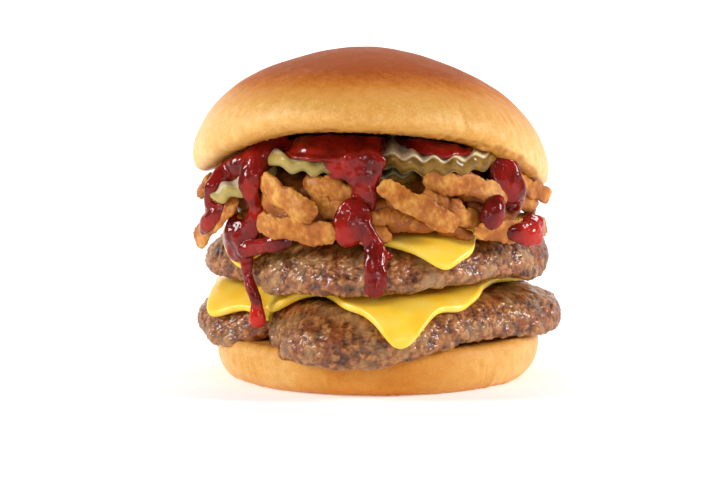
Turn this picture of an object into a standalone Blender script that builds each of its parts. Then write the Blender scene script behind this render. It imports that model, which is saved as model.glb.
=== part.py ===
"""A double cheeseburger with crisp onions, crinkle-cut pickles and barbecue sauce.

The burger stands on its heel, whose middle is the world origin, with +Z up. Its front, where the
bun's crown is lifted and the fillings show, faces -Y. Lengths are metres, written as millimetres
times MM. An azimuth is an angle about +Z from +X, so the front is at 270 degrees.
"""

import math
import random
from dataclasses import dataclass

import bmesh
import bpy
import numpy as np
from mathutils import Matrix, Vector, noise
from mathutils.bvhtree import BVHTree

MM = 0.001
GAP = 0.3 * MM
CUT_GROWTH = 1.6 * GAP
MERGE = 0.001 * MM
SPOKES = 36
SPOKE_TURN = math.radians(5.4)

HEEL_RADIUS = 46.2 * MM
HEEL_HEIGHT = 13.2 * MM
HEEL_FOOT_RADIUS = 40 * MM
HEEL_SIDE_HEIGHT = 9.5 * MM
HEEL_RIM_ROUNDING = 2.6 * MM
HEEL_SIDE_SWEEPS = (0, 25, 50, 72, 90)
HEEL_RIM_SWEEPS = (30, 60, 90)
OUT_OF_ROUND = ((2, 0.006, 1.0), (3, 0.005, 2.4))

CROWN_RADIUS = 51 * MM
CROWN_CENTRE = (-1.9 * MM, -0.5 * MM)
CROWN_DOME = 32 * MM
CROWN_ROUNDNESS = 1.7
CROWN_LIP_DEPTH = 8 * MM
CROWN_LIP_WIDTH = 7 * MM
CROWN_HOLLOW = 2.8 * MM
CROWN_SIDE_LEVEL = 54.7 * MM
CROWN_ARCH = 13 * MM
CROWN_ARCH_POWER = 3
CROWN_ARCH_FADE = 1.5
CROWN_TILT = 0.18
CROWN_ROLL = 0.049
CROWN_UNDER_RINGS = ((0.4, 1.0), (0.72, 0.8))
CROWN_LIP_SWEEPS = (0, 30, 60, 90)
CROWN_DOME_SWEEPS = (14, 28, 42, 55, 67, 79)

CHEESE_THICKNESS = 2.4 * MM
LOWER_STRETCHES = ((275, 9, 1.4), (186, 16, -2.4), (222, 8, 2.4), (5, 20, -8))
UPPER_STRETCHES = ((295, 10, -2.4), (205, 12, -4.4))

PICKLE_RIDGE_PITCH = 5.7 * MM
PICKLE_RIDGE_DEPTH = 0.7 * MM

HEAP_REACH_X = 46.5 * MM
HEAP_REACH_Y = 46 * MM
HEAP_FLOOR = 45 * MM
HEAP_TOP = 63 * MM
HEAP_TAPER = 0.09
HEAP_HEADROOM = 2.5 * MM
HEAP_CORE = ((0.86, 0), (0.93, 0.25), (0.91, 0.6), (0.76, 1))
STRIP_SIDES = 5
STRIP_STEP = 5.5 * MM
STRIP_ROOT = 4.4 * MM
STRIP_END = 0.3
STRIP_BLUNTNESS = 6
STRIP_WOBBLE = 0.12
STRIP_WOBBLES = 5.1


def clear_scene():
    """Removes every object of the startup scene."""
    for obj in list(bpy.data.objects):
        bpy.data.objects.remove(obj)


def material(name, colour, roughness):
    """A Principled material of one linear colour."""
    made = bpy.data.materials.new(name)
    made.use_nodes = True
    shader = made.node_tree.nodes["Principled BSDF"]
    shader.inputs["Base Color"].default_value = (*colour, 1)
    shader.inputs["Roughness"].default_value = roughness
    shader.inputs["Metallic"].default_value = 0
    return made


def smooth(x):
    """0 up to x = 0, 1 from x = 1, and a smooth step between."""
    t = min(1.0, max(0.0, x))
    return t * t * (3 - 2 * t)


def polar(azimuth, radius, height):
    """A point from its azimuth, its distance from the axis and its height."""
    return np.array([radius * math.cos(azimuth), radius * math.sin(azimuth), height])


def azimuths():
    """The azimuths of the spokes that all round layers share. The cheese's corners lie on them."""
    return [SPOKE_TURN + 2 * math.pi * i / SPOKES for i in range(SPOKES)]


def ringed_solid(name, rings, finish):
    """A closed solid through rings of points that run anticlockwise, from the lowest ring to the last.

    A ring of one point is a pole, and any other first or last ring is closed by a face.
    """
    mesh = bmesh.new()
    rows = [[mesh.verts.new(point) for point in ring] for ring in rings]
    for low, high in zip(rows, rows[1:]):
        count = max(len(low), len(high))
        for i in range(count):
            j = (i + 1) % count
            if len(low) == 1:
                mesh.faces.new((low[0], high[j], high[i]))
            elif len(high) == 1:
                mesh.faces.new((low[i], low[j], high[0]))
            else:
                mesh.faces.new((low[i], low[j], high[j], high[i]))
    if len(rows[0]) > 1:
        mesh.faces.new(rows[0][::-1])
    if len(rows[-1]) > 1:
        mesh.faces.new(rows[-1])
    bmesh.ops.remove_doubles(mesh, verts=mesh.verts, dist=MERGE)
    bmesh.ops.triangulate(mesh, faces=mesh.faces)
    bmesh.ops.recalc_face_normals(mesh, faces=mesh.faces)
    return linked(name, mesh, finish)


def linked(name, mesh, finish):
    """Writes the bmesh to a new object of that name in the scene."""
    data = bpy.data.meshes.new(name)
    mesh.to_mesh(data)
    mesh.free()
    data.materials.append(finish)
    data.shade_smooth()
    data.set_sharp_from_angle(angle=math.radians(40))
    obj = bpy.data.objects.new(name, data)
    bpy.context.scene.collection.objects.link(obj)
    return obj


def evaluated_mesh(obj):
    """A new mesh of the object with its modifiers applied."""
    graph = bpy.context.evaluated_depsgraph_get()
    return bpy.data.meshes.new_from_object(obj.evaluated_get(graph))


def combine(target, operands, operation):
    """Applies one Boolean of the operands to the target, then removes them."""
    group = bpy.data.collections.new("operands")
    bpy.context.scene.collection.children.link(group)
    for operand in operands:
        group.objects.link(operand)
    modifier = target.modifiers.new("combine", "BOOLEAN")
    modifier.operation = operation
    modifier.solver = "MANIFOLD"
    modifier.operand_type = "COLLECTION"
    modifier.collection = group
    mesh = evaluated_mesh(target)
    target.modifiers.clear()
    target.data = mesh
    for operand in operands:
        bpy.data.objects.remove(operand)
    bpy.data.collections.remove(group)


def keep_largest_body(obj):
    """Drops the loose scraps that a Boolean leaves beside the main body."""
    mesh = bmesh.new()
    mesh.from_mesh(obj.data)
    left = set(mesh.verts)
    bodies = []
    while left:
        body, edge = set(), [left.pop()]
        while edge:
            vert = edge.pop()
            body.add(vert)
            near = {e.other_vert(vert) for e in vert.link_edges} & left
            left -= near
            edge.extend(near)
        bodies.append(body)
    largest = max(bodies, key=len)
    bmesh.ops.delete(mesh, geom=[v for v in mesh.verts if v not in largest], context="VERTS")
    mesh.to_mesh(obj.data)
    mesh.free()


def grown(obj, by):
    """A copy of the object whose surface stands further out, to cut its place from a neighbour."""
    copy = bpy.data.objects.new(obj.name + "_grown", obj.data.copy())
    bpy.context.scene.collection.objects.link(copy)
    mesh = bmesh.new()
    mesh.from_mesh(copy.data)
    mesh.normal_update()
    for vert in mesh.verts:
        vert.co += vert.normal * by
    mesh.to_mesh(copy.data)
    mesh.free()
    return copy


def fit_round(obj, placed, more_cutters=()):
    """Cuts the object clear of every placed solid that it would touch, by the gap between pieces."""
    graph = bpy.context.evaluated_depsgraph_get()
    own = BVHTree.FromObject(obj, graph)
    cutters = list(more_cutters)
    for other in placed:
        cutter = grown(other, CUT_GROWTH)
        graph = bpy.context.evaluated_depsgraph_get()
        if own.overlap(BVHTree.FromObject(cutter, graph)):
            cutters.append(cutter)
        else:
            bpy.data.objects.remove(cutter)
    if cutters:
        combine(obj, cutters, "DIFFERENCE")
        keep_largest_body(obj)
    return obj


@dataclass(frozen=True)
class Patty:
    """A hand-pressed square beef patty with round corners, a creased edge and a drooping rim."""

    name: str
    underside: float
    thickness: float
    rise_right: float
    rise_front: float
    corner_reach: float
    side_reach: float
    corner_azimuth: float
    crease_azimuth: float
    droop_azimuth: float
    droop_front: float
    droop_back: float
    seed: float

    CREASE_DEPTH = 4 * MM
    CREASE_WIDTH = math.radians(8)
    CREASE_STEP = 4 * MM
    CREASE_STEP_LENGTH = math.radians(42)
    RIM_START = 41 * MM
    RIM_WIDTH = 10 * MM
    TOP_DROOP_SHARE = 0.25
    EDGE_SQUARENESS = 7.5
    EDGE_ROUNDNESS = 2.3
    UNDER_BULGE = 1.4 * MM
    LOBES = ((3, 0.7 * MM, 1), (7, 0.6 * MM, 2))
    LUMP_SIZE = 11 * MM
    LUMP_DEPTH = 1.3 * MM
    LUMP_RISE = 6 * MM
    NORMAL_STEP = math.radians(1.5)
    LEANS = (90, 84.8, 64, 46, 30, 14, -4, -24, -48, -84, -90)

    def reach(self, azimuth):
        """Distance from the axis to the rim."""
        corner = 0.5 * (1 + math.cos(4 * (azimuth - self.corner_azimuth)))
        reach = self.side_reach + (self.corner_reach - self.side_reach) * corner
        reach += sum(depth * math.sin(turns * azimuth + k * self.seed) for turns, depth, k in self.LOBES)
        past = (azimuth - self.crease_azimuth + math.pi) % (2 * math.pi) - math.pi
        reach -= self.CREASE_DEPTH * math.exp(-((past / self.CREASE_WIDTH) ** 2))
        if -self.CREASE_STEP_LENGTH < past < 0:
            reach -= self.CREASE_STEP * smooth(1 + past / self.CREASE_STEP_LENGTH)
        return reach

    def droop(self, x, y):
        """How far the rim sags below the flat underside there."""
        rim = smooth((math.hypot(x, y) - self.RIM_START) / self.RIM_WIDTH)
        toward_front = 0.5 * (1 + math.cos(math.atan2(y, x) - self.droop_azimuth))
        return rim * (self.droop_back + (self.droop_front - self.droop_back) * toward_front**2)

    def bottom(self, x, y):
        """Height of the underside, before the edge is rounded."""
        return self.underside - self.droop(x, y)

    def top(self, x, y):
        """Height of the upper face, before the edge is rounded."""
        flat = self.underside + self.thickness + self.rise_right * x - self.rise_front * y
        return flat - self.TOP_DROOP_SHARE * self.droop(x, y)

    def point(self, azimuth, lean):
        """A point of the skin. The lean runs from 90 degrees at the top to -90 underneath."""
        out = max(0.0, math.cos(lean)) ** (2 / self.EDGE_SQUARENESS)
        up = math.copysign(abs(math.sin(lean)) ** (2 / self.EDGE_ROUNDNESS), lean)
        radius = out * self.reach(azimuth)
        x, y = radius * math.cos(azimuth), radius * math.sin(azimuth)
        side = math.cos(lean) ** 2
        lump = noise.noise(Vector((x, y, self.seed * MM + up * self.LUMP_RISE)) / self.LUMP_SIZE)
        radius += side * lump * self.LUMP_DEPTH - up * out * self.UNDER_BULGE
        top, bottom = self.top(x, y), self.bottom(x, y)
        return polar(azimuth, radius, (top + bottom) / 2 + up * (top - bottom) / 2)

    def outward(self, azimuth, lean):
        """The unit normal of the skin there, pointing out."""
        step = self.NORMAL_STEP
        lean = min(lean, math.pi / 2 - step)
        round_it = self.point(azimuth + step, lean) - self.point(azimuth - step, lean)
        over_it = self.point(azimuth, lean + step) - self.point(azimuth, lean - step)
        normal = np.cross(round_it, over_it)
        return normal / np.linalg.norm(normal)

    def leans_at(self, azimuth, distances):
        """The leans that lie at those distances from the top's middle, measured along the skin."""
        leans = np.radians(np.linspace(90, -60, 151))
        path = np.array([self.point(azimuth, lean) for lean in leans])
        steps = np.linalg.norm(np.diff(path, axis=0), axis=1)
        travelled = np.concatenate([[0], np.cumsum(steps)])
        return np.interp(distances, travelled, leans)

    def facet_point(self, azimuth, lean):
        """The point of the built patty's facets there, on the straight edge between two rings."""
        rings = [math.radians(ring) for ring in self.LEANS]
        last = next(i for i, ring in enumerate(rings) if ring <= lean + 1e-9)
        if last == 0:
            return self.point(azimuth, rings[0])
        share = (rings[last - 1] - lean) / (rings[last - 1] - rings[last])
        above, below = self.point(azimuth, rings[last - 1]), self.point(azimuth, rings[last])
        return above + (below - above) * share

    def build(self, finish):
        """The patty as one closed solid."""
        rings = []
        for lean in map(math.radians, reversed(self.LEANS)):
            pole = abs(lean) == math.pi / 2
            rings.append([self.point(a, lean) for a in (azimuths()[:1] if pole else azimuths())])
        return ringed_solid(self.name, rings, finish)


@dataclass(frozen=True)
class CheeseSlice:
    """A square slice that has melted over a patty, with its corners hanging down the side.

    Each stretch is where the cheese has run further: its azimuth and width in degrees, and how far
    it has run in millimetres.
    """

    name: str
    patty: Patty
    half_side: float
    corner_azimuth: float
    stretches: tuple

    SQUARENESS = 12.0
    LIFT = 0.6 * MM
    LOWEST_LEAN = -48

    def reach(self, azimuth):
        """Distance from the middle to the slice's edge, measured along the slice."""
        turned = azimuth - self.corner_azimuth + math.pi / 4
        across = abs(math.cos(turned)) ** self.SQUARENESS + abs(math.sin(turned)) ** self.SQUARENESS
        reach = self.half_side / across ** (1 / self.SQUARENESS)
        for middle, width, stretch in self.stretches:
            past = (math.degrees(azimuth) - middle + 180) % 360 - 180
            reach += stretch * MM * math.exp(-((past / width) ** 2))
        return reach

    def build(self, finish):
        """The slice as one closed solid that follows the patty's facets a small gap above them.

        Every spoke has all the rings, and those past the slice's edge fall together there.
        """
        leans = [lean for lean in self.patty.LEANS[1:] if lean >= self.LOWEST_LEAN]
        under, over = [], []
        for azimuth in azimuths():
            edge = self.patty.leans_at(azimuth, [self.reach(azimuth)])[0]
            kept = [max(math.radians(lean), edge) for lean in leans]
            skin = [self.patty.facet_point(azimuth, lean) for lean in kept]
            out = [self.patty.outward(azimuth, lean) for lean in kept]
            under.append([p + n * self.LIFT for p, n in zip(skin, out)])
            over.append([p + n * (self.LIFT + CHEESE_THICKNESS) for p, n in zip(skin, out)])
        top = self.patty.point(0, math.pi / 2)
        rings = [[top + np.array([0, 0, self.LIFT])]]
        rings += [[spoke[i] for spoke in under] for i in range(len(leans))]
        rings += [[spoke[i] for spoke in over] for i in reversed(range(len(leans)))]
        rings += [[top + np.array([0, 0, self.LIFT + CHEESE_THICKNESS])]]
        return ringed_solid(self.name, rings, finish)


@dataclass(frozen=True)
class Pickle:
    """A round crinkle-cut pickle chip, with lengths in millimetres and angles in degrees.

    Its section is wavy along the direction of ridge_azimuth, and it leans down to the left.
    """

    name: str
    centre: tuple
    radius: float
    thickness: float
    ridge_azimuth: float
    lean_front: float
    lean_left: float

    RIM_BEVEL = 0.7 * MM
    END_CUT = 0.992
    SECTIONS_PER_RIDGE = 4

    def ridge(self, across):
        """Height of the crinkle there."""
        return PICKLE_RIDGE_DEPTH * math.cos(2 * math.pi * across / PICKLE_RIDGE_PITCH)

    def place(self):
        """The matrix that sets the chip in the burger."""
        turn = Matrix.Rotation(math.radians(self.ridge_azimuth), 4, "Z")
        tip = Matrix.Rotation(math.radians(self.lean_front), 4, "X")
        tip @= Matrix.Rotation(math.radians(-self.lean_left), 4, "Y")
        return Matrix.Translation(Vector(self.centre) * MM) @ tip @ turn

    def build(self, finish):
        """The chip as one closed solid, built section by section along its ridged direction."""
        radius, deep = self.radius * MM, self.thickness * MM / 2
        count = round(2 * radius / PICKLE_RIDGE_PITCH * self.SECTIONS_PER_RIDGE)
        rings = []
        for i in range(count + 1):
            across = radius * self.END_CUT * (2 * i / count - 1)
            half = math.sqrt(radius**2 - across**2)
            inner = half - min(self.RIM_BEVEL, half / 2)
            upper = ((half, 0), (inner, deep), (-inner, deep))
            outline = (*upper, *((-y, -z) for y, z in upper))
            level = self.ridge(across)
            rings.append([self.place() @ Vector((across, y, z + level)) for y, z in outline])
        return ringed_solid(self.name, rings, finish)


@dataclass(frozen=True)
class Strip:
    """A battered onion strip on the side of the heap, from one azimuth and height to another.

    Azimuths are degrees and lengths millimetres. The stand is how far its middle stands out from
    the heap, and the flare how far its second end swings out further than that.
    """

    start: tuple
    end: tuple
    width: float = 6
    depth: float = 3.6
    stand: float = 0
    flare: float = 0
    bow: float = 0


def facing(x0, z0, x1, z1, **form):
    """A strip on the heap's front, whose ends are given as seen from there."""
    ends = []
    for x, z in ((x0, z0), (x1, z1)):
        across = max(-0.99, min(0.99, x * MM / HEAP_REACH_X))
        ends.append((360 - math.degrees(math.acos(across)), z))
    return Strip(*ends, **form)


FRONT_STRIPS = (
    facing(-33.5, 61.5, -18, 52.6, width=7.4, depth=5, stand=1.4),
    facing(-23, 61.8, -8, 57.4, width=5.6, stand=-0.8),
    facing(-32.6, 48.6, -11.6, 47.6, width=6.2, stand=1.4, bow=-0.8),
    facing(-46, 43.4, -40, 53.4, width=7, depth=3, stand=4.4, flare=-3),
    facing(-45.8, 51.4, -45.2, 59.4, width=6, depth=3, stand=5, flare=-4),
    facing(-34.5, 56, -24, 50.6, width=5, stand=-1.2),
    facing(-20.5, 56.4, -6.5, 51.4, width=5.4, stand=-1.6),
    facing(0.5, 61, 21.5, 48.8, width=6, depth=4, stand=1.6),
    facing(12.6, 62.4, 36, 56.8, width=4.2, stand=1.8, bow=0.8),
    facing(15.6, 59.4, 34.4, 53.6, width=4.2, stand=1.8, bow=-0.6),
    facing(15.6, 58, 22, 53, width=4.4, stand=-1.4),
    facing(20.5, 53.8, 30.5, 47.8, width=5, stand=-0.6),
    facing(40.6, 58, 46, 50.4, width=5.4, depth=3, stand=2.6, flare=3.4),
    facing(26.5, 46.8, 45.4, 45.2, width=5.4, depth=3, stand=3),
    facing(-4, 51.6, 9, 51, width=4.8, stand=-0.8),
    facing(3, 56.6, 14, 50.6, width=5, stand=-2),
    facing(38.4, 52.4, 45.6, 51.2, width=4.4, stand=0.4),
    facing(-10, 46.8, 4, 46.6, width=5, stand=0.4),
    facing(6, 47.4, 24, 46.4, width=4.6, stand=-1.6),
    facing(-45, 52.4, -37.6, 46.8, width=5, stand=0.6),
    facing(-44.4, 60, -36, 54.4, width=5, stand=-0.8),
)
BACK_STRIPS = 13
BACK_SEED = 11
BACK_AZIMUTHS = (-4, 186)
BACK_TIERS = (48.0, 53.0, 57.6)
BACK_SPOT = (0.2, 0.8)
BACK_HEIGHT_SPREAD = (-0.8, 0.8)
BACK_HALF_TURN = (9, 14)
BACK_HALF_CLIMB = (-5, 5)
BACK_WIDTH = (4.8, 6.8)
BACK_STAND = (-0.6, 1.4)
BACK_FLARE = (-1.6, 1.6)


def crown_level(x, y):
    """Height of the crown's lower lip: tipped back, rolled a little and arched over the fillings."""
    across = (x - CROWN_CENTRE[0]) / CROWN_RADIUS
    arch = CROWN_ARCH * max(0.0, 1 - abs(across) ** CROWN_ARCH_POWER)
    return CROWN_SIDE_LEVEL - CROWN_TILT * y - CROWN_ROLL * x + arch


def heap_reach(azimuth, height):
    """Distance from the axis to the middle of the strips that lie at that height."""
    oval = math.hypot(math.cos(azimuth) / HEAP_REACH_X, math.sin(azimuth) / HEAP_REACH_Y)
    bulge = 1 - HEAP_TAPER * ((height - HEAP_FLOOR) / (HEAP_TOP - HEAP_FLOOR)) ** 2
    return bulge / oval


def build_heel(finish):
    """The bottom half of the bun, a shallow cup shape that widens upward."""
    profile = []
    for a in map(math.radians, HEEL_SIDE_SWEEPS):
        radius = HEEL_FOOT_RADIUS + (HEEL_RADIUS - HEEL_FOOT_RADIUS) * math.sin(a)
        profile.append((radius, HEEL_SIDE_HEIGHT * (1 - math.cos(a))))
    for a in map(math.radians, HEEL_RIM_SWEEPS):
        level = HEEL_SIDE_HEIGHT + (HEEL_HEIGHT - HEEL_SIDE_HEIGHT) * math.sin(a)
        profile.append((HEEL_RADIUS - HEEL_RIM_ROUNDING * (1 - math.cos(a)), level))
    rings = [[polar(a, r * out_of_round(a), z) for a in azimuths()] for r, z in profile]
    return ringed_solid("bun_heel", [[(0, 0, 0)], *rings, [(0, 0, HEEL_HEIGHT)]], finish)


def out_of_round(azimuth):
    """The slight unevenness of a baked roll's outline."""
    return 1 + sum(depth * math.sin(turns * azimuth + phase) for turns, depth, phase in OUT_OF_ROUND)


def crown_point(azimuth, radius, rise):
    """A point of the crown from its radius and its rise above the lip. The top doesn't arch."""
    x = CROWN_CENTRE[0] + radius * out_of_round(azimuth) * math.cos(azimuth)
    y = CROWN_CENTRE[1] + radius * out_of_round(azimuth) * math.sin(azimuth)
    flat = CROWN_SIDE_LEVEL - CROWN_TILT * y - CROWN_ROLL * x
    sinking = (1 - rise / (CROWN_DOME + CROWN_LIP_DEPTH)) ** CROWN_ARCH_FADE
    return np.array([x, y, flat + rise + (crown_level(x, y) - flat) * sinking])


def build_crown(finish):
    """The top half of the bun: a dome on a rounded lip, with a shallow cut face underneath."""
    lip_radius = CROWN_RADIUS - CROWN_LIP_WIDTH
    profile = [(share * CROWN_RADIUS, depth * CROWN_HOLLOW) for share, depth in CROWN_UNDER_RINGS]
    for a in map(math.radians, CROWN_LIP_SWEEPS):
        profile.append((lip_radius + CROWN_LIP_WIDTH * math.sin(a), CROWN_LIP_DEPTH * (1 - math.cos(a))))
    for a in map(math.radians, CROWN_DOME_SWEEPS):
        rise = CROWN_LIP_DEPTH + CROWN_DOME * math.sin(a) ** (2 / CROWN_ROUNDNESS)
        profile.append((CROWN_RADIUS * math.cos(a) ** (2 / CROWN_ROUNDNESS), rise))
    rings = [[crown_point(a, r, h) for a in azimuths()] for r, h in profile]
    pole_low = [crown_point(0, 0, CROWN_HOLLOW)]
    pole_high = [crown_point(0, 0, CROWN_LIP_DEPTH + CROWN_DOME)]
    return ringed_solid("bun_crown", [pole_low, *rings, pole_high], finish)


def strip_solid(strip, finish, grow=0.0):
    """One onion strip, swept along the side of the heap with blunt ends, and grown on every side."""
    (first, low), (last, high) = strip.start, strip.end
    middle_reach = heap_reach(math.radians(first + last) / 2, (low + high) / 2 * MM)
    run = math.radians(last - first) * middle_reach
    climb = (high - low) * MM
    length = math.hypot(run, climb)
    steps = max(4, round(length / STRIP_STEP))
    rings = []
    for i in range(steps + 1):
        share = 2 * i / steps - 1
        along = i / steps + share * grow / length
        middle = math.radians(first + (last - first) * along)
        height = (low + (high - low) * along + strip.bow * (1 - share**2)) * MM
        stand = (strip.stand + strip.flare * share) * MM
        reach = heap_reach(middle, height) + stand
        inner = max(strip.depth * MM / 2, stand + STRIP_ROOT)
        blunt = STRIP_END + (1 - STRIP_END) * math.sqrt(max(0.0, 1 - abs(share) ** STRIP_BLUNTNESS))
        wobble = 1 + STRIP_WOBBLE * math.sin(STRIP_WOBBLES * share + first)
        ring = []
        for k in range(STRIP_SIDES):
            a = 2 * math.pi * (k + 0.5) / STRIP_SIDES
            deep = (strip.depth * MM / 2 if math.sin(a) > 0 else inner) * blunt + grow
            out = deep / math.cos(math.pi / STRIP_SIDES) * math.sin(a)
            wide = strip.width * MM / 2 * blunt * wobble + grow
            across = wide / math.cos(math.pi / STRIP_SIDES) * math.cos(a)
            azimuth = middle - across * climb / length / middle_reach
            ring.append(polar(azimuth, reach + out, height + across * run / length))
        rings.append(ring)
    return ringed_solid("strip", rings, finish)


def all_strips():
    """The strips of the front, then those of the sides and the back."""
    return [*FRONT_STRIPS, *back_strips()]


def back_strips():
    """The strips of the sides and the back, drawn by a seeded rule in the sizes of the front ones."""
    draw = random.Random(BACK_SEED)
    made = []
    first, last = BACK_AZIMUTHS
    for i in range(BACK_STRIPS):
        azimuth = first + (last - first) * (i + draw.uniform(*BACK_SPOT)) / BACK_STRIPS
        tier = i % len(BACK_TIERS)
        height = BACK_TIERS[tier] + draw.uniform(*BACK_HEIGHT_SPREAD)
        half_turn = draw.uniform(*BACK_HALF_TURN)
        half_climb = draw.uniform(*BACK_HALF_CLIMB) * (tier > 0)
        made.append(
            Strip(
                (azimuth - half_turn, height - half_climb),
                (azimuth + half_turn, height + half_climb),
                width=draw.uniform(*BACK_WIDTH),
                stand=draw.uniform(*BACK_STAND),
                flare=draw.uniform(*BACK_FLARE),
            )
        )
    return made


def heap_core(finish, grow=0.0):
    """The inside of the heap, lower toward the back under the tipped crown."""
    floor = HEAP_FLOOR - grow
    rings = [[(0, 0, floor)]]
    for share, level in HEAP_CORE:
        ring = []
        for azimuth in azimuths():
            radius = share * heap_reach(azimuth, HEAP_FLOOR) + grow
            x, y = radius * math.cos(azimuth), radius * math.sin(azimuth)
            top = min(HEAP_TOP, crown_level(x, y) - HEAP_HEADROOM) + grow
            ring.append((x, y, floor + level * (top - floor)))
        rings.append(ring)
    rings.append([(0, 0, HEAP_TOP + grow)])
    return ringed_solid("onion_heap", rings, finish)


def build_heap(neighbours, finish):
    """The crisp onions: a core with the strips that show fused on, cut clear of its neighbours."""
    core = heap_core(finish)
    combine(core, [strip_solid(strip, finish) for strip in all_strips()], "UNION")
    return fit_round(core, neighbours)


def heap_cutters(finish):
    """The heap's own pieces, each grown, to cut the place of the onions from the sauce."""
    strips = [strip_solid(strip, finish, CUT_GROWTH) for strip in all_strips()]
    return [heap_core(finish, CUT_GROWTH), *strips]


@dataclass(frozen=True)
class Run:
    """A run of thick sauce. Each stop is x, z and the run's width there, in millimetres.

    The root is the x and y where it leaves the layer under the crown. A run without a root starts
    inside another run.
    """

    stops: tuple
    root: tuple = ()


SAUCE_RUNS = (
    Run(
        (
            (-2.6, 70, 9),
            (-2.8, 67, 10),
            (-3.4, 60, 7.8),
            (-3.8, 54.5, 7.4),
            (-6.4, 50, 10.6),
            (-6.8, 45, 8.6),
        ),
        root=(-2.2, -36),
    ),
    Run(((-5, 48, 7), (-2.4, 45, 7), (-0.9, 40, 7.8), (-0.9, 33, 7.6))),
    Run(
        (
            (-33, 68, 8),
            (-36.4, 65, 7),
            (-36.9, 55, 5),
            (-35.4, 51, 4.4),
            (-36, 48, 5.6),
            (-40.2, 43.8, 9.6),
            (-41.2, 38, 6.8),
        ),
        root=(-29, -25),
    ),
    Run(((-38, 43.6, 5), (-30, 43.4, 4.4), (-24, 42.8, 4.6))),
    Run(((-39.8, 41, 5), (-37.8, 35, 4), (-36.5, 29.6, 3.4), (-34.8, 25.6, 3.8), (-34.1, 20, 5.8))),
    Run(
        (
            (-34, 67, 7),
            (-39.6, 63.3, 6.4),
            (-43.9, 60, 5.4),
            (-47, 55.8, 5),
            (-47.4, 51, 5.4),
            (-48.8, 46.4, 5),
        ),
        root=(-29, -25),
    ),
    Run(
        ((36, 64, 5.6), (37.6, 60.5, 9.6), (39, 54, 6.6), (40.4, 49.6, 8.6), (42.6, 46, 9)),
        root=(35, -21),
    ),
    Run(((37, 56, 6), (33.2, 52.4, 6.6), (31.8, 49.6, 6.6))),
)
RUN_SIDES = 6
RUN_FLATNESS = 0.5
RUN_STEP = 4.2 * MM
RUN_END = 0.45
RUN_SINK = 1.5 * MM
FRONT_START = -0.2
FRONT_PROBE = 2 * MM
SAUCE_THICKNESS = 2.6 * MM
SAUCE_RINGS = ((0.6, 1.0), (0.92, 0.9), (1.0, 0.4))
SAUCE_REACH = 38.5
SAUCE_WAVES = ((3, 0.9, 0.6), (8, 0.8, 0.0))
SAUCE_SAG = 1.4 * MM
SAUCE_ON_PICKLES = 70.5 * MM
SAUCE_SPREAD = ((262, 9, 3), (300, 20, 2.4), (279, 6, -4.5), (232, 12, 1), (328, 9, 5))


def front_of(trees, x, z):
    """The y at which a line from the front first meets one of the solids at that x, near that z.

    It never lies deeper than the heap's own front.
    """
    starts = [Vector((x, FRONT_START, z + step)) for step in (-FRONT_PROBE, 0, FRONT_PROBE)]
    hits = [tree.ray_cast(start, Vector((0, 1, 0)))[0] for tree in trees for start in starts]
    across = min(0.99, abs(x) / HEAP_REACH_X)
    deepest = RUN_SINK - HEAP_REACH_Y * math.sqrt(1 - across**2)
    return min([deepest] + [hit.y for hit in hits if hit is not None])


def run_solid(run, trees, finish):
    """One run of sauce as a round-ended, flattened tube that lies on what is behind it."""
    stops = np.array(run.stops) * MM
    legs = np.linalg.norm(np.diff(stops[:, :2], axis=0), axis=1)
    travelled = np.concatenate([[0], np.cumsum(legs)])
    count = max(4, round(travelled[-1] / RUN_STEP))
    at = np.linspace(0, travelled[-1], count + 1)
    xs, zs, widths = (np.interp(at, travelled, stops[:, i]) for i in range(3))
    found = [front_of(trees, x, z) for x, z in zip(xs, zs)]
    ys = [min(found[max(0, i - 1) : i + 2]) for i in range(count + 1)]
    centres = [Vector(point) for point in zip(xs, ys, zs)]
    if run.root:
        x, y = run.root[0] * MM, run.root[1] * MM
        centres.insert(0, Vector((x, y, sauce_floor(x, y) + SAUCE_THICKNESS / 2)))
        widths = np.insert(widths, 0, widths[0])
    rings = []
    last = len(centres) - 1
    for i, centre in enumerate(centres):
        course = (centres[min(last, i + 1)] - centres[max(0, i - 1)]).normalized()
        inward = Vector((-centre.x, -centre.y, 0)).normalized()
        sideways = course.cross(inward).normalized()
        inward = sideways.cross(course).normalized()
        half = widths[i] / 2 * min(1.0, RUN_END + (1 - RUN_END) * min(i, last - i))
        ring = []
        for k in range(RUN_SIDES):
            a = 2 * math.pi * (k + 0.5) / RUN_SIDES
            across = sideways * (half * math.cos(a))
            ring.append(centre + across + inward * (half * RUN_FLATNESS * math.sin(a)))
        rings.append(ring)
    return ringed_solid("run", rings, finish)


def sauce_reach(azimuth):
    """How far the layer of sauce spreads under the crown."""
    reach = SAUCE_REACH
    reach += sum(depth * math.sin(turns * azimuth + phase) for turns, depth, phase in SAUCE_WAVES)
    for middle, width, more in SAUCE_SPREAD:
        past = (math.degrees(azimuth) - middle + 180) % 360 - 180
        reach += more * math.exp(-((past / width) ** 2))
    return reach * MM


def sauce_floor(x, y):
    """Height of the sauce layer's underside: on the pickles in front, under the crown elsewhere."""
    return min(crown_level(x, y) - SAUCE_SAG, SAUCE_ON_PICKLES)


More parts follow.
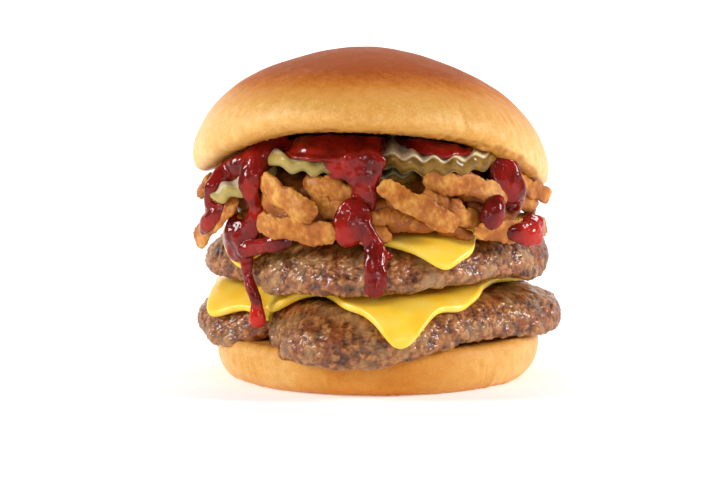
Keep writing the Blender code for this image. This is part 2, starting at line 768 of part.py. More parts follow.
def build_sauce(neighbours, finish):
    """The barbecue sauce: a layer between the pickles and the crown, with its runs down the front."""
    graph = bpy.context.evaluated_depsgraph_get()
    trees = [BVHTree.FromObject(obj, graph) for obj in neighbours if obj.name != "bun_crown"]
    low, high = [], []
    for share, thick in SAUCE_RINGS:
        under, over = [], []
        for azimuth in azimuths():
            reach = share * sauce_reach(azimuth)
            x, y = reach * math.cos(azimuth), reach * math.sin(azimuth)
            under.append((x, y, sauce_floor(x, y)))
            over.append((x, y, sauce_floor(x, y) + thick * SAUCE_THICKNESS))
        low.append(under)
        high.append(over)
    middle = sauce_floor(0, 0)
    rings = [[(0, 0, middle)], *low, *reversed(high), [(0, 0, middle + SAUCE_THICKNESS)]]
    layer = ringed_solid("sauce", rings, finish)
    combine(layer, [run_solid(run, trees, finish) for run in SAUCE_RUNS], "UNION")
    others = [obj for obj in neighbours if obj.name != "onion_heap"]
    return fit_round(layer, others, heap_cutters(finish))


def main():
    """Builds every layer from the heel up, then the pickles, the crown, the onions and the sauce."""
    clear_scene()
    crust = material("bun_crust", (0.66, 0.33, 0.10), 0.55)
    beef = material("beef", (0.21, 0.09, 0.04), 0.5)
    cheese = material("cheese", (0.90, 0.52, 0.03), 0.35)
    batter = material("onion_batter", (0.68, 0.28, 0.07), 0.6)
    pickle = material("pickle", (0.36, 0.33, 0.06), 0.3)
    sauce = material("barbecue_sauce", (0.24, 0.012, 0.01), 0.15)

    lower = Patty(
        "patty_lower",
        underside=HEEL_HEIGHT,
        thickness=13.2 * MM,
        rise_right=0.012,
        rise_front=0.01,
        corner_reach=53 * MM,
        side_reach=46 * MM,
        corner_azimuth=math.radians(268),
        crease_azimuth=math.radians(222),
        droop_azimuth=math.radians(266),
        droop_front=6.6 * MM,
        droop_back=2 * MM,
        seed=1.0,
    )
    upper = Patty(
        "patty_upper",
        underside=lower.top(0, 0) + CHEESE_THICKNESS + 3 * GAP,
        thickness=13.6 * MM,
        rise_right=0.015,
        rise_front=0.005,
        corner_reach=50 * MM,
        side_reach=45 * MM,
        corner_azimuth=math.radians(271),
        crease_azimuth=math.radians(213),
        droop_azimuth=math.radians(244),
        droop_front=5.2 * MM,
        droop_back=1.6 * MM,
        seed=4.0,
    )
    stack = (
        (build_heel, crust),
        (lower.build, beef),
        (CheeseSlice("cheese_lower", lower, 42 * MM, math.radians(275.4), LOWER_STRETCHES).build, cheese),
        (upper.build, beef),
        (CheeseSlice("cheese_upper", upper, 39.5 * MM, math.radians(295.4), UPPER_STRETCHES).build, cheese),
        (build_crown, crust),
        (Pickle("pickle_right", (15.9, -25.6, 66.6), 18.8, 4.6, 0, 0, -1).build, pickle),
        (Pickle("pickle_left", (-17.6, -26.5, 65.6), 14.4, 4.2, 12, 2, -5).build, pickle),
        (Pickle("pickle_far_left", (-38.5, -21, 59.5), 11, 4, 50, 10, 26).build, pickle),
        (Pickle("pickle_under", (-1.2, -24.5, 61.2), 15, 3, 0, 0, -1).build, pickle),
    )
    placed = []
    for build, finish in stack:
        placed.append(fit_round(build(finish), placed))
    placed.append(build_heap(placed, batter))
    build_sauce(placed, sauce)


main()
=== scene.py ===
"""The looks of a double cheeseburger with crisp onions, crinkle-cut pickles and barbecue sauce.

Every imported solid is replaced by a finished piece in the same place: bread with its crust, minced
beef, melted cheese, onion strips in batter, pickle chips and sauce. Lengths are metres, written as
millimetres times MM. The front faces -Y, and an azimuth is an angle about +Z from +X, so the front
is at 270 degrees.
"""

from __future__ import annotations

import logging
import math
import random
from dataclasses import astuple, dataclass
from enum import Enum
from typing import Any, Iterable, Sequence

import bpy
import numpy as np
from mathutils import Matrix, Vector, noise
from mathutils.bvhtree import BVHTree

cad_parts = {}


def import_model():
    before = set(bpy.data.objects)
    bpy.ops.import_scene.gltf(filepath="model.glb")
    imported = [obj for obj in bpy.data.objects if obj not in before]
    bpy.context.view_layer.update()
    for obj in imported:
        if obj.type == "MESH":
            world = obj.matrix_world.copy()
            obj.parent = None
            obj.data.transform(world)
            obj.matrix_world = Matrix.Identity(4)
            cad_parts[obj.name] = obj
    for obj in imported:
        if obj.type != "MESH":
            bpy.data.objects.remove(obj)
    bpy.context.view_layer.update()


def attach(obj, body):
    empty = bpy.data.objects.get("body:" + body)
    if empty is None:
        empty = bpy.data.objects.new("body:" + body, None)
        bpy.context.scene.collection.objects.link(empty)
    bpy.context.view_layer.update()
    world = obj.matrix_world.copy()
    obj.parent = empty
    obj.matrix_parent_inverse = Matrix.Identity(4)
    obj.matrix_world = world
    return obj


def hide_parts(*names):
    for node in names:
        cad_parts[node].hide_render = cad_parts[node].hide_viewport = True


MM = 0.001
FULL_TURN = 2 * math.pi
TINY = 1e-12
MASK = "relief_mask"
RELIEF = "relief"
RELIEF_INPUTS = dict.fromkeys(("ClumpSize", "ClumpDepth", "GrainSize", "GrainDepth", "Seed"), float)
MIX_A, MIX_B, MIX_RESULT = 6, 7, 2
NOISE_RANGE = (0.35, 0.65)
CLUMP_SMOOTHNESS = 0.35
CLUMP_RANGE = (0.1, 0.75)
GRAIN_RANGE = (0.3, 0.7)
GRAIN_SHADE = 0.4
STRIP_SQUARENESS = 3.0
EDGE_RELIEF = (6.0, 0.6)
RUN_FACING = (0.35, 1, 0)
FRONT_ONLY_Y = -10 * MM
WIDEST = 0.99

log = logging.getLogger("burger")


class Slot(Enum):
    """The record's material slots."""

    CRUST = "bun_crust"
    BEEF = "beef"
    CHEESE = "cheese"
    BATTER = "onion_batter"
    PICKLE = "pickle"
    SAUCE = "barbecue_sauce"


def linear(colour: str) -> tuple[float, float, float, float]:
    """Turns a colour from sRGB hex to linear light.

    Args:
        colour: six hex digits after a hash sign.

    Returns:
        Red, green, blue and an alpha of 1.
    """
    parts = [int(colour[i : i + 2], 16) / 255 for i in (1, 3, 5)]
    light = [c / 12.92 if c <= 0.04045 else ((c + 0.055) / 1.055) ** 2.4 for c in parts]
    return (*light, 1.0)


class Nodes:
    """A node tree, with a short call for each kind of node that is added often."""

    def __init__(self, tree: bpy.types.NodeTree) -> None:
        """Takes the tree that the nodes go into."""
        self.tree = tree

    def fill(self, node: bpy.types.Node, inputs: dict[str | int, Any]) -> None:
        """Links or sets a node's inputs, which are given by name or index."""
        for key, value in inputs.items():
            if isinstance(value, bpy.types.NodeSocket):
                self.tree.links.new(value, node.inputs[key])
            else:
                node.inputs[key].default_value = value

    def add(self, kind: str, inputs: dict[str | int, Any] | None = None, **settings: Any) -> bpy.types.Node:
        """Adds a node.

        Args:
            kind: the node's type name.
            inputs: what each input holds, by name or index: a value, or a socket to link.
            settings: the node's own properties.

        Returns:
            The new node.
        """
        made = self.tree.nodes.new(kind)
        for key, value in settings.items():
            setattr(made, key, value)
        self.fill(made, inputs or {})
        return made

    def maths(self, operation: str, *terms: Any) -> bpy.types.NodeSocket:
        """The result of a maths node, whose terms are numbers or sockets."""
        return self.add("ShaderNodeMath", dict(enumerate(terms)), operation=operation).outputs[0]

    def vectors(self, operation: str, *terms: Any, **scale: Any) -> bpy.types.NodeSocket:
        """The result of a vector maths node, where the factor of a SCALE is given as Scale."""
        inputs = {**dict(enumerate(terms)), **scale}
        return self.add("ShaderNodeVectorMath", inputs, operation=operation).outputs[0]

    def mapped(
        self, value: bpy.types.NodeSocket, source: tuple = (0.0, 1.0), target: tuple = (0.0, 1.0)
    ) -> bpy.types.NodeSocket:
        """A value carried from one range to another, and held inside it."""
        ends = {"From Min": source[0], "From Max": source[1], "To Min": target[0], "To Max": target[1]}
        return self.add("ShaderNodeMapRange", {"Value": value, **ends}).outputs[0]

    def noise(
        self, place: bpy.types.NodeSocket, scale: Any, detail: float, output: str = "Fac"
    ) -> bpy.types.NodeSocket:
        """Noise at a place, whose scale is a number or a socket."""
        inputs = {"Vector": place, "Scale": scale, "Detail": detail}
        return self.add("ShaderNodeTexNoise", inputs).outputs[output]


class Surface(Nodes):
    """A new material, whose Principled shader is filled in at the end."""

    def __init__(self, name: str) -> None:
        """Starts the material with the object's own coordinates."""
        self.material = bpy.data.materials.new(name)
        self.material.use_nodes = True
        super().__init__(self.material.node_tree)
        self.place = self.add("ShaderNodeTexCoord").outputs["Object"]

    def pattern(self, size: float, detail: float) -> bpy.types.NodeSocket:
        """Noise with lumps of a real size, from 0 to 1."""
        return self.noise(self.place, 1 / size, detail)

    def attribute(self, name: str) -> bpy.types.NodeSocket:
        """A number that the mesh keeps on its points."""
        return self.add("ShaderNodeAttribute", attribute_name=name).outputs["Fac"]

    def varied(self, base: Any, pattern: bpy.types.NodeSocket, amount: float) -> bpy.types.NodeSocket:
        """The base plus an amount of a pattern, which is counted from its middle."""
        return self.maths("MULTIPLY_ADD", self.maths("ADD", pattern, -0.5), amount, base)

    def ramp(self, factor: bpy.types.NodeSocket, *stops: tuple[float, str]) -> bpy.types.NodeSocket:
        """The colour from a ramp of places and sRGB colours."""
        made = self.add("ShaderNodeValToRGB", {"Fac": factor})
        elements = made.color_ramp.elements
        while len(elements) < len(stops):
            elements.new(0.5)
        for element, (place, colour) in zip(elements, stops):
            element.position = place
            element.color = linear(colour)
        return made.outputs["Color"]

    def mixed(self, share: bpy.types.NodeSocket, first: Any, second: Any) -> bpy.types.NodeSocket:
        """Two colours, with a share of the second one from 0 to 1."""
        inputs = {0: share, MIX_A: first, MIX_B: second}
        return self.add("ShaderNodeMix", inputs, data_type="RGBA").outputs[MIX_RESULT]

    def bump(
        self, height: bpy.types.NodeSocket, strength: float, distance: float, **normal: bpy.types.NodeSocket
    ) -> bpy.types.NodeSocket:
        """The normal over a bump, which can start from another Normal."""
        inputs = {"Height": height, "Strength": strength, "Distance": distance, **normal}
        return self.add("ShaderNodeBump", inputs).outputs[0]

    def finished(self, inputs: dict[str, Any]) -> bpy.types.Material:
        """The material, once the shader's inputs are linked or set."""
        self.fill(self.tree.nodes["Principled BSDF"], inputs)
        return self.material


def smooth(x: Any) -> Any:
    """0 up to x = 0, 1 from x = 1, and a smooth step between. Takes numbers and arrays."""
    t = np.clip(x, 0.0, 1.0)
    return t * t * (3 - 2 * t)


def turned(degrees: Any, middle: float) -> Any:
    """How far an azimuth is past the middle one, from -180 to 180 degrees."""
    return (degrees - middle + 180) % 360 - 180


def noise_at(points: np.ndarray, size: float, seed: float = 0.0) -> np.ndarray:
    """Perlin noise for lumps of a real size.

    Args:
        points: an array whose last axis is x, y, z.
        size: the lumps' size in metres.
        seed: moves the pattern.

    Returns:
        A number from about -1 to 1 for each point.
    """
    flat = points.reshape(-1, 3) / size + seed
    found = np.fromiter((noise.noise(Vector(p)) for p in flat), float, len(flat))
    return found.reshape(points.shape[:-1])


def fade(offset: Any, width: float) -> Any:
    """1 where the offset is 0, falling away to both sides within about the width."""
    return np.exp(-((offset / width) ** 2))


def swollen(base: Any, azimuth: np.ndarray, places: Iterable[tuple]) -> Any:
    """The base with soft swellings, each by its azimuth and width in degrees and its millimetres."""
    for middle, width, more in places:
        base = base + more * MM * fade(turned(np.degrees(azimuth), middle), width)
    return base


def waves(azimuth: np.ndarray, parts: Iterable[tuple]) -> np.ndarray:
    """The sum of waves round an outline, each by its number of turns, depth and phase."""
    return sum(depth * np.sin(turns * azimuth + phase) for turns, depth, phase in parts)


def layered(points: np.ndarray, layers: Iterable[tuple], unit: float = 1.0) -> np.ndarray:
    """The sum of layers of noise, each by its size, seed and share of the unit."""
    return sum(noise_at(points, size, seed) * share * unit for size, seed, share in layers)


def spokes(count: int) -> np.ndarray:
    """Azimuths in radians that divide a full turn evenly."""
    return np.arange(count) * FULL_TURN / count


def polar(radius: np.ndarray, azimuth: np.ndarray, height: np.ndarray) -> np.ndarray:
    """Points from their distance to the axis, azimuth and height."""
    return np.stack([radius * np.cos(azimuth), radius * np.sin(azimuth), height], axis=-1)


def unit_cross(first: np.ndarray, second: np.ndarray) -> np.ndarray:
    """The unit normals of pairs of directions."""
    normals = np.cross(first, second)
    return normals / np.maximum(np.linalg.norm(normals, axis=2, keepdims=True), TINY)


def grid_normals(rings: np.ndarray) -> np.ndarray:
    """Unit normals of a skin of rings that run anticlockwise and go upward."""
    return unit_cross(np.roll(rings, -1, axis=1) - np.roll(rings, 1, axis=1), np.gradient(rings, axis=0))


def mark(mesh: bpy.types.Mesh, name: str, values: np.ndarray) -> None:
    """Keeps a number on each of the mesh's points."""
    mesh.attributes.new(name, "FLOAT", "POINT").data.foreach_set("value", values.astype(np.float32))


def points_of(mesh: bpy.types.Mesh) -> np.ndarray:
    """The mesh's points, one in each row."""
    points = np.empty(len(mesh.vertices) * 3)
    mesh.vertices.foreach_get("co", points)
    return points.reshape(-1, 3)


def ring_mesh(name: str, rings: np.ndarray, **attributes: np.ndarray) -> bpy.types.Mesh:
    """A closed mesh through rings of points, whose first and last rings are closed by a fan.

    Args:
        name: the mesh's name.
        rings: an array of rings, each an array of points that run anticlockwise, from the lowest.
        attributes: a number for each point of the rings, by the attribute's name.

    Returns:
        The mesh, shaded smooth.
    """
    rows, count, _ = rings.shape
    poles = [rings[0].mean(axis=0), rings[-1].mean(axis=0)]
    points = np.concatenate([rings.reshape(-1, 3), poles])
    row, spoke = np.meshgrid(np.arange(rows - 1), np.arange(count), indexing="ij")
    after = (spoke + 1) % count
    here, above = row * count, (row + 1) * count
    corners = (here + spoke, here + after, above + after, above + spoke)
    faces = np.stack(corners, axis=-1).reshape(-1, 4).tolist()
    low, high, last = rows * count, rows * count + 1, (rows - 1) * count
    faces += [(low, (i + 1) % count, i) for i in range(count)]
    faces += [(last + i, last + (i + 1) % count, high) for i in range(count)]
    mesh = bpy.data.meshes.new(name)
    mesh.from_pydata(points.tolist(), [], faces)
    for key, values in attributes.items():
        filled = np.broadcast_to(values, (rows, count))
        mark(mesh, key, np.concatenate([filled.reshape(-1), [filled[0].mean(), filled[-1].mean()]]))
    mesh.shade_smooth()
    return mesh


def shown(name: str, mesh: bpy.types.Mesh) -> bpy.types.Object:
    """Links the mesh to the scene as an object at the origin."""
    obj = bpy.data.objects.new(name, mesh)
    bpy.context.scene.collection.objects.link(obj)
    return obj


def settled(obj: bpy.types.Object) -> bpy.types.Object:
    """Turns an object's modifiers into a plain mesh of its own."""
    graph = bpy.context.evaluated_depsgraph_get()
    mesh = bpy.data.meshes.new_from_object(obj.evaluated_get(graph))
    name = obj.name
    bpy.data.objects.remove(obj)
    mesh.name = name
    return shown(name, mesh)


def joined(name: str, pieces: Iterable[bpy.types.Object]) -> bpy.types.Object:
    """Joins objects into one, which takes the first one's materials."""
    pieces = list(pieces)
    with bpy.context.temp_override(active_object=pieces[0], selected_editable_objects=pieces):
        bpy.ops.object.join()
    pieces[0].name = name
    return pieces[0]


def tree_of(obj: bpy.types.Object) -> BVHTree:
    """The object's faces, ready for ray casts."""
    return BVHTree.FromObject(obj, bpy.context.evaluated_depsgraph_get())


def dress(piece: bpy.types.Object, slot: Slot, *nodes: str) -> None:
    """Makes a piece ride on the burger and stand for its solids."""
    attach(piece, "root")
    if nodes:
        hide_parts(*nodes)
    log.info("%s: %d faces", piece.name, len(piece.data.polygons))


class Recipe(Nodes):
    """A Geometry Nodes tree with named inputs, which turns an object into a plain mesh."""

    SOCKETS = {
        float: "NodeSocketFloat",
        int: "NodeSocketInt",
        bpy.types.Material: "NodeSocketMaterial",
    }

    def __init__(self, name: str, **inputs: type) -> None:
        """Starts an empty tree.

        Args:
            name: the tree's name.
            inputs: the type of each named input.
        """
        super().__init__(bpy.data.node_groups.new(name, "GeometryNodeTree"))
        self.identifiers = {}
        self.tree.interface.new_socket("Geometry", in_out="INPUT", socket_type="NodeSocketGeometry")
        for key, kind in inputs.items():
            socket = self.tree.interface.new_socket(key, in_out="INPUT", socket_type=self.SOCKETS[kind])
            self.identifiers[key] = socket.identifier
        self.tree.interface.new_socket("Geometry", in_out="OUTPUT", socket_type="NodeSocketGeometry")
        self.start = self.tree.nodes.new("NodeGroupInput")
        self.end = self.tree.nodes.new("NodeGroupOutput")

    def value(self, name: str) -> bpy.types.NodeSocket:
        """The socket that gives a named input."""
        return self.start.outputs[name]

    def place(self) -> bpy.types.NodeSocket:
        """Each point's position."""
        return self.add("GeometryNodeInputPosition").outputs[0]

    def resampled(self) -> bpy.types.NodeSocket:
        """The source curve, with a point at every Step along it."""
        inputs = {"Curve": self.value("Geometry"), "Length": self.value("Step")}
        return self.add("GeometryNodeResampleCurve", inputs, mode="LENGTH").outputs[0]

    def marked(
        self, geometry: bpy.types.NodeSocket, name: str, value: bpy.types.NodeSocket
    ) -> bpy.types.NodeSocket:
        """The geometry, with a number kept on each point."""
        inputs = {"Geometry": geometry, "Name": name, "Value": value}
        kind = "GeometryNodeStoreNamedAttribute"
        return self.add(kind, inputs, data_type="FLOAT", domain="POINT").outputs[0]

    def in_relief(self, geometry: bpy.types.NodeSocket, relief: Recipe) -> bpy.types.NodeSocket:
        """The skin with the relief tree's clumps and grain. This tree has that tree's inputs."""
        group = self.add("GeometryNodeGroup", node_tree=relief.tree)
        self.fill(group, {"Geometry": geometry, **{key: self.value(key) for key in RELIEF_INPUTS}})
        return group.outputs[0]

    def finish(self, geometry: bpy.types.NodeSocket, dressed: bool = True) -> None:
        """Ends the tree.

        Args:
            geometry: what the tree has made.
            dressed: whether it is realised and given the Material input first.
        """
        if dressed:
            real = self.add("GeometryNodeRealizeInstances", {"Geometry": geometry})
            round_it = self.add("GeometryNodeSetShadeSmooth", {"Geometry": real.outputs[0]})
            coated = {"Geometry": round_it.outputs[0], "Material": self.value("Material")}
            geometry = self.add("GeometryNodeSetMaterial", coated).outputs[0]
        self.tree.links.new(geometry, self.end.inputs[0])

    def cook(self, source: bpy.types.Object, **values: Any) -> bpy.types.Object:
        """Applies the tree to an object.

        Args:
            source: the object, which is used up.
            values: the tree's inputs by name.

        Returns:
            A new object of the same name with the plain mesh that the tree makes.
        """
        modifier = source.modifiers.new(self.tree.name, "NODES")
        modifier.node_group = self.tree
        for key, value in values.items():
            modifier[self.identifiers[key]] = value
        return settled(source)


@dataclass(frozen=True)
class Relief:
    """How rough a food's skin is: the size and depth of its clumps and of its grain."""

    clump_size: float
    clump_depth: float
    grain_size: float
    grain_depth: float
    seed: float = 0.0

    def inputs(self) -> dict[str, float]:
        """The values by the names of the tree's inputs."""
        return dict(zip(RELIEF_INPUTS, astuple(self)))


def relief_recipe() -> Recipe:
    """The tree that raises clumps and grain on a skin along its normals.

    Its mask attribute says how much of the relief each point gets, and the height is kept as an
    attribute from about -1 in the creases to 1 on the clumps, for the colour to follow.

    Returns:
        The recipe, for use inside other trees.
    """
    recipe = Recipe("food_relief", **RELIEF_INPUTS)
    clump_size = recipe.value("ClumpSize")
    seeded = recipe.vectors("ADD", recipe.place(), recipe.value("Seed"))
    clump_scale = recipe.maths("DIVIDE", 1.0, clump_size)
    grain_scale = recipe.maths("DIVIDE", 1.0, recipe.value("GrainSize"))
    wander = recipe.vectors("SUBTRACT", recipe.noise(seeded, clump_scale, 1.0, "Color"), (0.5, 0.5, 0.5))
    warped = recipe.vectors("ADD", seeded, recipe.vectors("SCALE", wander, Scale=clump_size))
    cells = recipe.add(
        "ShaderNodeTexVoronoi",
        {"Vector": warped, "Scale": clump_scale, "Smoothness": CLUMP_SMOOTHNESS},
        feature="SMOOTH_F1",
    )
    clump = recipe.mapped(cells.outputs["Distance"], CLUMP_RANGE, (1.0, -1.0))
    grain = recipe.mapped(recipe.noise(seeded, grain_scale, 2.0), GRAIN_RANGE, (-1.0, 1.0))
    coarse = recipe.maths("MULTIPLY", clump, recipe.value("ClumpDepth"))
    both = recipe.maths("MULTIPLY_ADD", grain, recipe.value("GrainDepth"), coarse)
    mask = recipe.add("GeometryNodeInputNamedAttribute", {"Name": MASK}, data_type="FLOAT").outputs[0]
    normal = recipe.add("GeometryNodeInputNormal").outputs[0]
    offset = recipe.vectors("SCALE", normal, Scale=recipe.maths("MULTIPLY", both, mask))
    shade = recipe.maths("MULTIPLY_ADD", grain, GRAIN_SHADE, clump)
    kept = recipe.marked(recipe.value("Geometry"), RELIEF, shade)
    moved = recipe.add("GeometryNodeSetPosition", {"Geometry": kept, "Offset": offset})
    recipe.finish(moved.outputs[0], dressed=False)
    return recipe


def skin_recipe(relief: Recipe) -> Recipe:
    """The tree that gives a closed skin its relief and its material."""
    recipe = Recipe("rough_skin", **RELIEF_INPUTS, Material=bpy.types.Material)
    recipe.finish(recipe.in_relief(recipe.value("Geometry"), relief))
    return recipe


def strip_recipe(relief: Recipe) -> Recipe:
    """The tree that sweeps a battered onion strip along a curve.

    The strip's broad side faces out from the burger's axis. Each point's radius scales the section
    there, and the cup bends the section's edges back, as an onion's layers are bent. The batter's
    relief is strongest along the edges.

    Args:
        relief: the relief tree.

    Returns:
        The recipe, whose source is a curve.
    """
    form = dict.fromkeys(("Width", "Depth", "Cup", "Tip", "Step"), float)
    recipe = Recipe("battered_strip", **form, Sides=int, **RELIEF_INPUTS, Material=bpy.types.Material)
    place = recipe.place()
    outward = recipe.vectors("NORMALIZE", recipe.vectors("MULTIPLY", place, (1, 1, 0)))
    along = recipe.add("GeometryNodeSplineParameter").outputs["Factor"]
    tip = recipe.maths("MULTIPLY", recipe.maths("SUBTRACT", along, 0.5), recipe.value("Tip"))
    normal = recipe.vectors("ADD", outward, recipe.add("ShaderNodeCombineXYZ", {2: tip}).outputs[0])
    turned_out = {"Curve": recipe.resampled(), "Normal": normal}
    facing = recipe.add("GeometryNodeSetCurveNormal", turned_out, mode="FREE")
    unit = {"Resolution": recipe.value("Sides"), "Radius": 0.5}
    circle = recipe.add("GeometryNodeCurvePrimitiveCircle", unit)
    x, y, _ = recipe.add("ShaderNodeSeparateXYZ", {0: place}).outputs
    powers = [recipe.maths("POWER", recipe.maths("ABSOLUTE", side), STRIP_SQUARENESS) for side in (x, y)]
    norm = recipe.maths("POWER", recipe.maths("ADD", *powers), 1 / STRIP_SQUARENESS)
    swell = recipe.maths("DIVIDE", 0.5, norm)
    wide = recipe.maths("MULTIPLY", y, recipe.value("Width"))
    deep = recipe.maths("MULTIPLY", x, recipe.value("Depth"))
    square = recipe.maths("MULTIPLY", y, y)
    cup = recipe.maths("MULTIPLY", square, recipe.value("Cup"))
    bent = recipe.maths("SUBTRACT", recipe.maths("MULTIPLY", deep, swell), cup)
    section = recipe.add("ShaderNodeCombineXYZ", {0: bent, 1: wide}).outputs[0]
    edge = recipe.maths("MULTIPLY_ADD", square, *EDGE_RELIEF)
    masked = recipe.marked(circle.outputs["Curve"], MASK, edge)
    profile = recipe.add("GeometryNodeSetPosition", {"Geometry": masked, "Position": section})
    swept = recipe.add(
        "GeometryNodeCurveToMesh",
        {
            "Curve": facing.outputs[0],
            "Profile Curve": profile.outputs[0],
            "Scale": recipe.add("GeometryNodeInputRadius").outputs[0],
            "Fill Caps": True,
        },
    )
    recipe.finish(recipe.in_relief(swept.outputs[0], relief))
    return recipe


def run_recipe() -> Recipe:
    """The tree that lays a run of sauce as a row of flat drops, each as wide as the run is there."""
    form = dict.fromkeys(("Step", "Flatness", "Deepest", "Film"), float)
    recipe = Recipe("sauce_run", **form, Material=bpy.types.Material)
    outward = recipe.vectors("MULTIPLY", recipe.place(), RUN_FACING)
    turn = recipe.add("FunctionNodeAlignRotationToVector", {"Vector": outward}, axis="X")
    radius = recipe.add("GeometryNodeInputRadius").outputs[0]
    share = recipe.maths("MULTIPLY", radius, recipe.value("Flatness"))
    least = recipe.maths("MINIMUM", share, recipe.value("Deepest"))
    depth = recipe.maths("MULTIPLY", least, recipe.value("Film"))
    size = recipe.add("ShaderNodeCombineXYZ", {0: depth, 1: radius, 2: radius})
    ball = recipe.add("GeometryNodeMeshIcoSphere", {"Radius": 1.0, "Subdivisions": 4})
    stamped = recipe.add(
        "GeometryNodeInstanceOnPoints",
        {
            "Points": recipe.resampled(),
            "Instance": ball.outputs["Mesh"],
            "Rotation": turn.outputs[0],
            "Scale": size.outputs[0],
        },
    )
    recipe.finish(stamped.outputs[0])
    return recipe


def plain_piece(
    name: str, rings: np.ndarray, material: bpy.types.Material, **attributes: np.ndarray
) -> bpy.types.Object:
    """A closed skin of rings with its finish, and a number for each point by the attribute's name."""
    mesh = ring_mesh(name, rings, **attributes)
    mesh.materials.append(material)
    return shown(name, mesh)


def rough_piece(
    name: str,
    rings: np.ndarray,
    recipe: Recipe,
    relief: Relief,
    material: bpy.types.Material,
    **attributes: np.ndarray,
) -> bpy.types.Object:
    """A closed skin of rings, in relief and with its finish.

    Args:
        name: the piece's name.
        rings: the skin's points.
        recipe: the tree that roughens a skin.
        relief: how rough it gets.
        material: the finish.
        attributes: a number for each point of the rings, by the attribute's name.

    Returns:
        The piece.
    """
    smooth_skin = shown(name, ring_mesh(name, rings, **attributes))
    return recipe.cook(smooth_skin, **relief.inputs(), Material=material)


def path_object(name: str, points: Sequence[Any], radii: Sequence[float]) -> bpy.types.Object:
    """A curve object through points, with a radius at each."""
    data = bpy.data.curves.new(name, "CURVE")
    data.dimensions = "3D"
    spline = data.splines.new("POLY")
    spline.points.add(len(points) - 1)
    for knot, point, radius in zip(spline.points, points, radii):
        knot.co = (*point, 1)
        knot.radius = radius
    obj = bpy.data.objects.new(name, data)
    bpy.context.scene.collection.objects.link(obj)
    return obj


@dataclass(frozen=True)
class BreadFinish:
    """The baked crust of a soft bun, brown where the oven reached it and where shade is painted in, with the
    toasted cut face.

    Egg-washed crust is satin and finely mottled. The browning attribute runs from 0 on the pale side
    to 1 on the brownest top, and also holds painted shade at the front and painted light on the
    heel's flanks. The cut attribute is 1 on the toasted crumb.
    """

    name: str = "baked_soft_bun"
    stops: tuple = (
        (0.0, "#F4D296"),
        (0.2, "#E6B366"),
        (0.38, "#D79943"),
        (0.6, "#CE8430"),
        (0.8, "#BA661E"),
        (1.0, "#A04A0E"),
    )
    toasted: tuple = ((0.3, "#A8641E"), (0.65, "#DC9C44"))
    mottle_size: float = 2.6 * MM
    grain_size: float = 0.55 * MM
    cloud_scale: float = 60.0
    mottle_share: float = 0.30
    cloud_share: float = 0.16
    grain_share: float = 0.28
    roughness: tuple = (0.36, 0.54)
    sheen_bake: tuple = (0.2, 0.7)
    sheen: tuple = (0.6, 0.03)

    def build(self) -> bpy.types.Material:
        """The material."""
        made = Surface(self.name)
        mottle = made.pattern(self.mottle_size, detail=4.0)
        grain = made.pattern(self.grain_size, detail=2.0)
        cloud = made.noise(made.place, self.cloud_scale, detail=2.0)
        # The browning attribute, which also carries painted shade and painted light.
        bake = made.attribute("bake")
        shade = made.varied(bake, mottle, self.mottle_share)
        shade = made.varied(shade, cloud, self.cloud_share)
        shade = made.varied(shade, grain, self.grain_share)
        crust = made.ramp(shade, *self.stops)
        toast = made.ramp(mottle, *self.toasted)
        coarse = made.bump(mottle, strength=0.25, distance=0.35 * MM)
        return made.finished(
            {
                "Base Color": made.mixed(made.attribute("cut"), crust, toast),
                "Roughness": made.mapped(mottle, target=self.roughness),
                "Normal": made.bump(grain, strength=0.6, distance=0.28 * MM, Normal=coarse),
                "IOR": 1.45,
                "Specular IOR Level": made.mapped(bake, self.sheen_bake, self.sheen),
                "Subsurface Weight": 0.12,
                "Subsurface Radius": (1.0, 0.5, 0.25),
                "Subsurface Scale": 2 * MM,
            }
        )


@dataclass(frozen=True)
class MeatFinish:
    """Griddled minced beef: brown crumbles with painted shade in the creases between them, grey patches, and
    reddish where they are browned less.

    Melted fat keeps it wet, so its clumps catch small bright highlights.
    """

    name: str = "griddled_minced_beef"
    # The ramp runs from painted shade in the creases, its darkest stop, to the lighter crests.
    stops: tuple = ((0.1, "#4A2814"), (0.42, "#854A20"), (0.8, "#B47A42"))
    grey: str = "#AA8254"
    grey_patches: tuple = (0.5, 0.66)
    grey_share: float = 0.6
    red: str = "#8C4018"
    red_patches: tuple = (0.47, 0.34)
    red_share: float = 0.5
    relief_range: tuple = (-1.4, 1.3)
    fibre_size: float = 0.9 * MM
    fibre_share: float = 0.9
    patch_size: float = 7 * MM
    roughness: tuple = (0.24, 0.6)

    def build(self) -> bpy.types.Material:
        """The material."""
        made = Surface(self.name)
        fibre = made.pattern(self.fibre_size, detail=3.0)
        patch = made.pattern(self.patch_size, detail=2.0)
        # Painted shade: the relief's low creases take the ramp's darkest colour.
        height = made.mapped(made.attribute(RELIEF), self.relief_range)
        brown = made.ramp(made.varied(height, fibre, self.fibre_share), *self.stops)
        greyed = made.maths("MULTIPLY", made.mapped(patch, self.grey_patches), self.grey_share)
        pale = made.mixed(greyed, brown, linear(self.grey))
        reddened = made.maths("MULTIPLY", made.mapped(patch, self.red_patches), self.red_share)
        return made.finished(
            {
                "Base Color": made.mixed(reddened, pale, linear(self.red)),
                "Roughness": made.mapped(fibre, NOISE_RANGE, self.roughness),
                "Normal": made.bump(fibre, strength=0.6, distance=0.35 * MM),
                "IOR": 1.42,
                "Specular IOR Level": 0.35,
                "Coat Weight": 0.45,
                "Coat Roughness": 0.14,
            }
        )


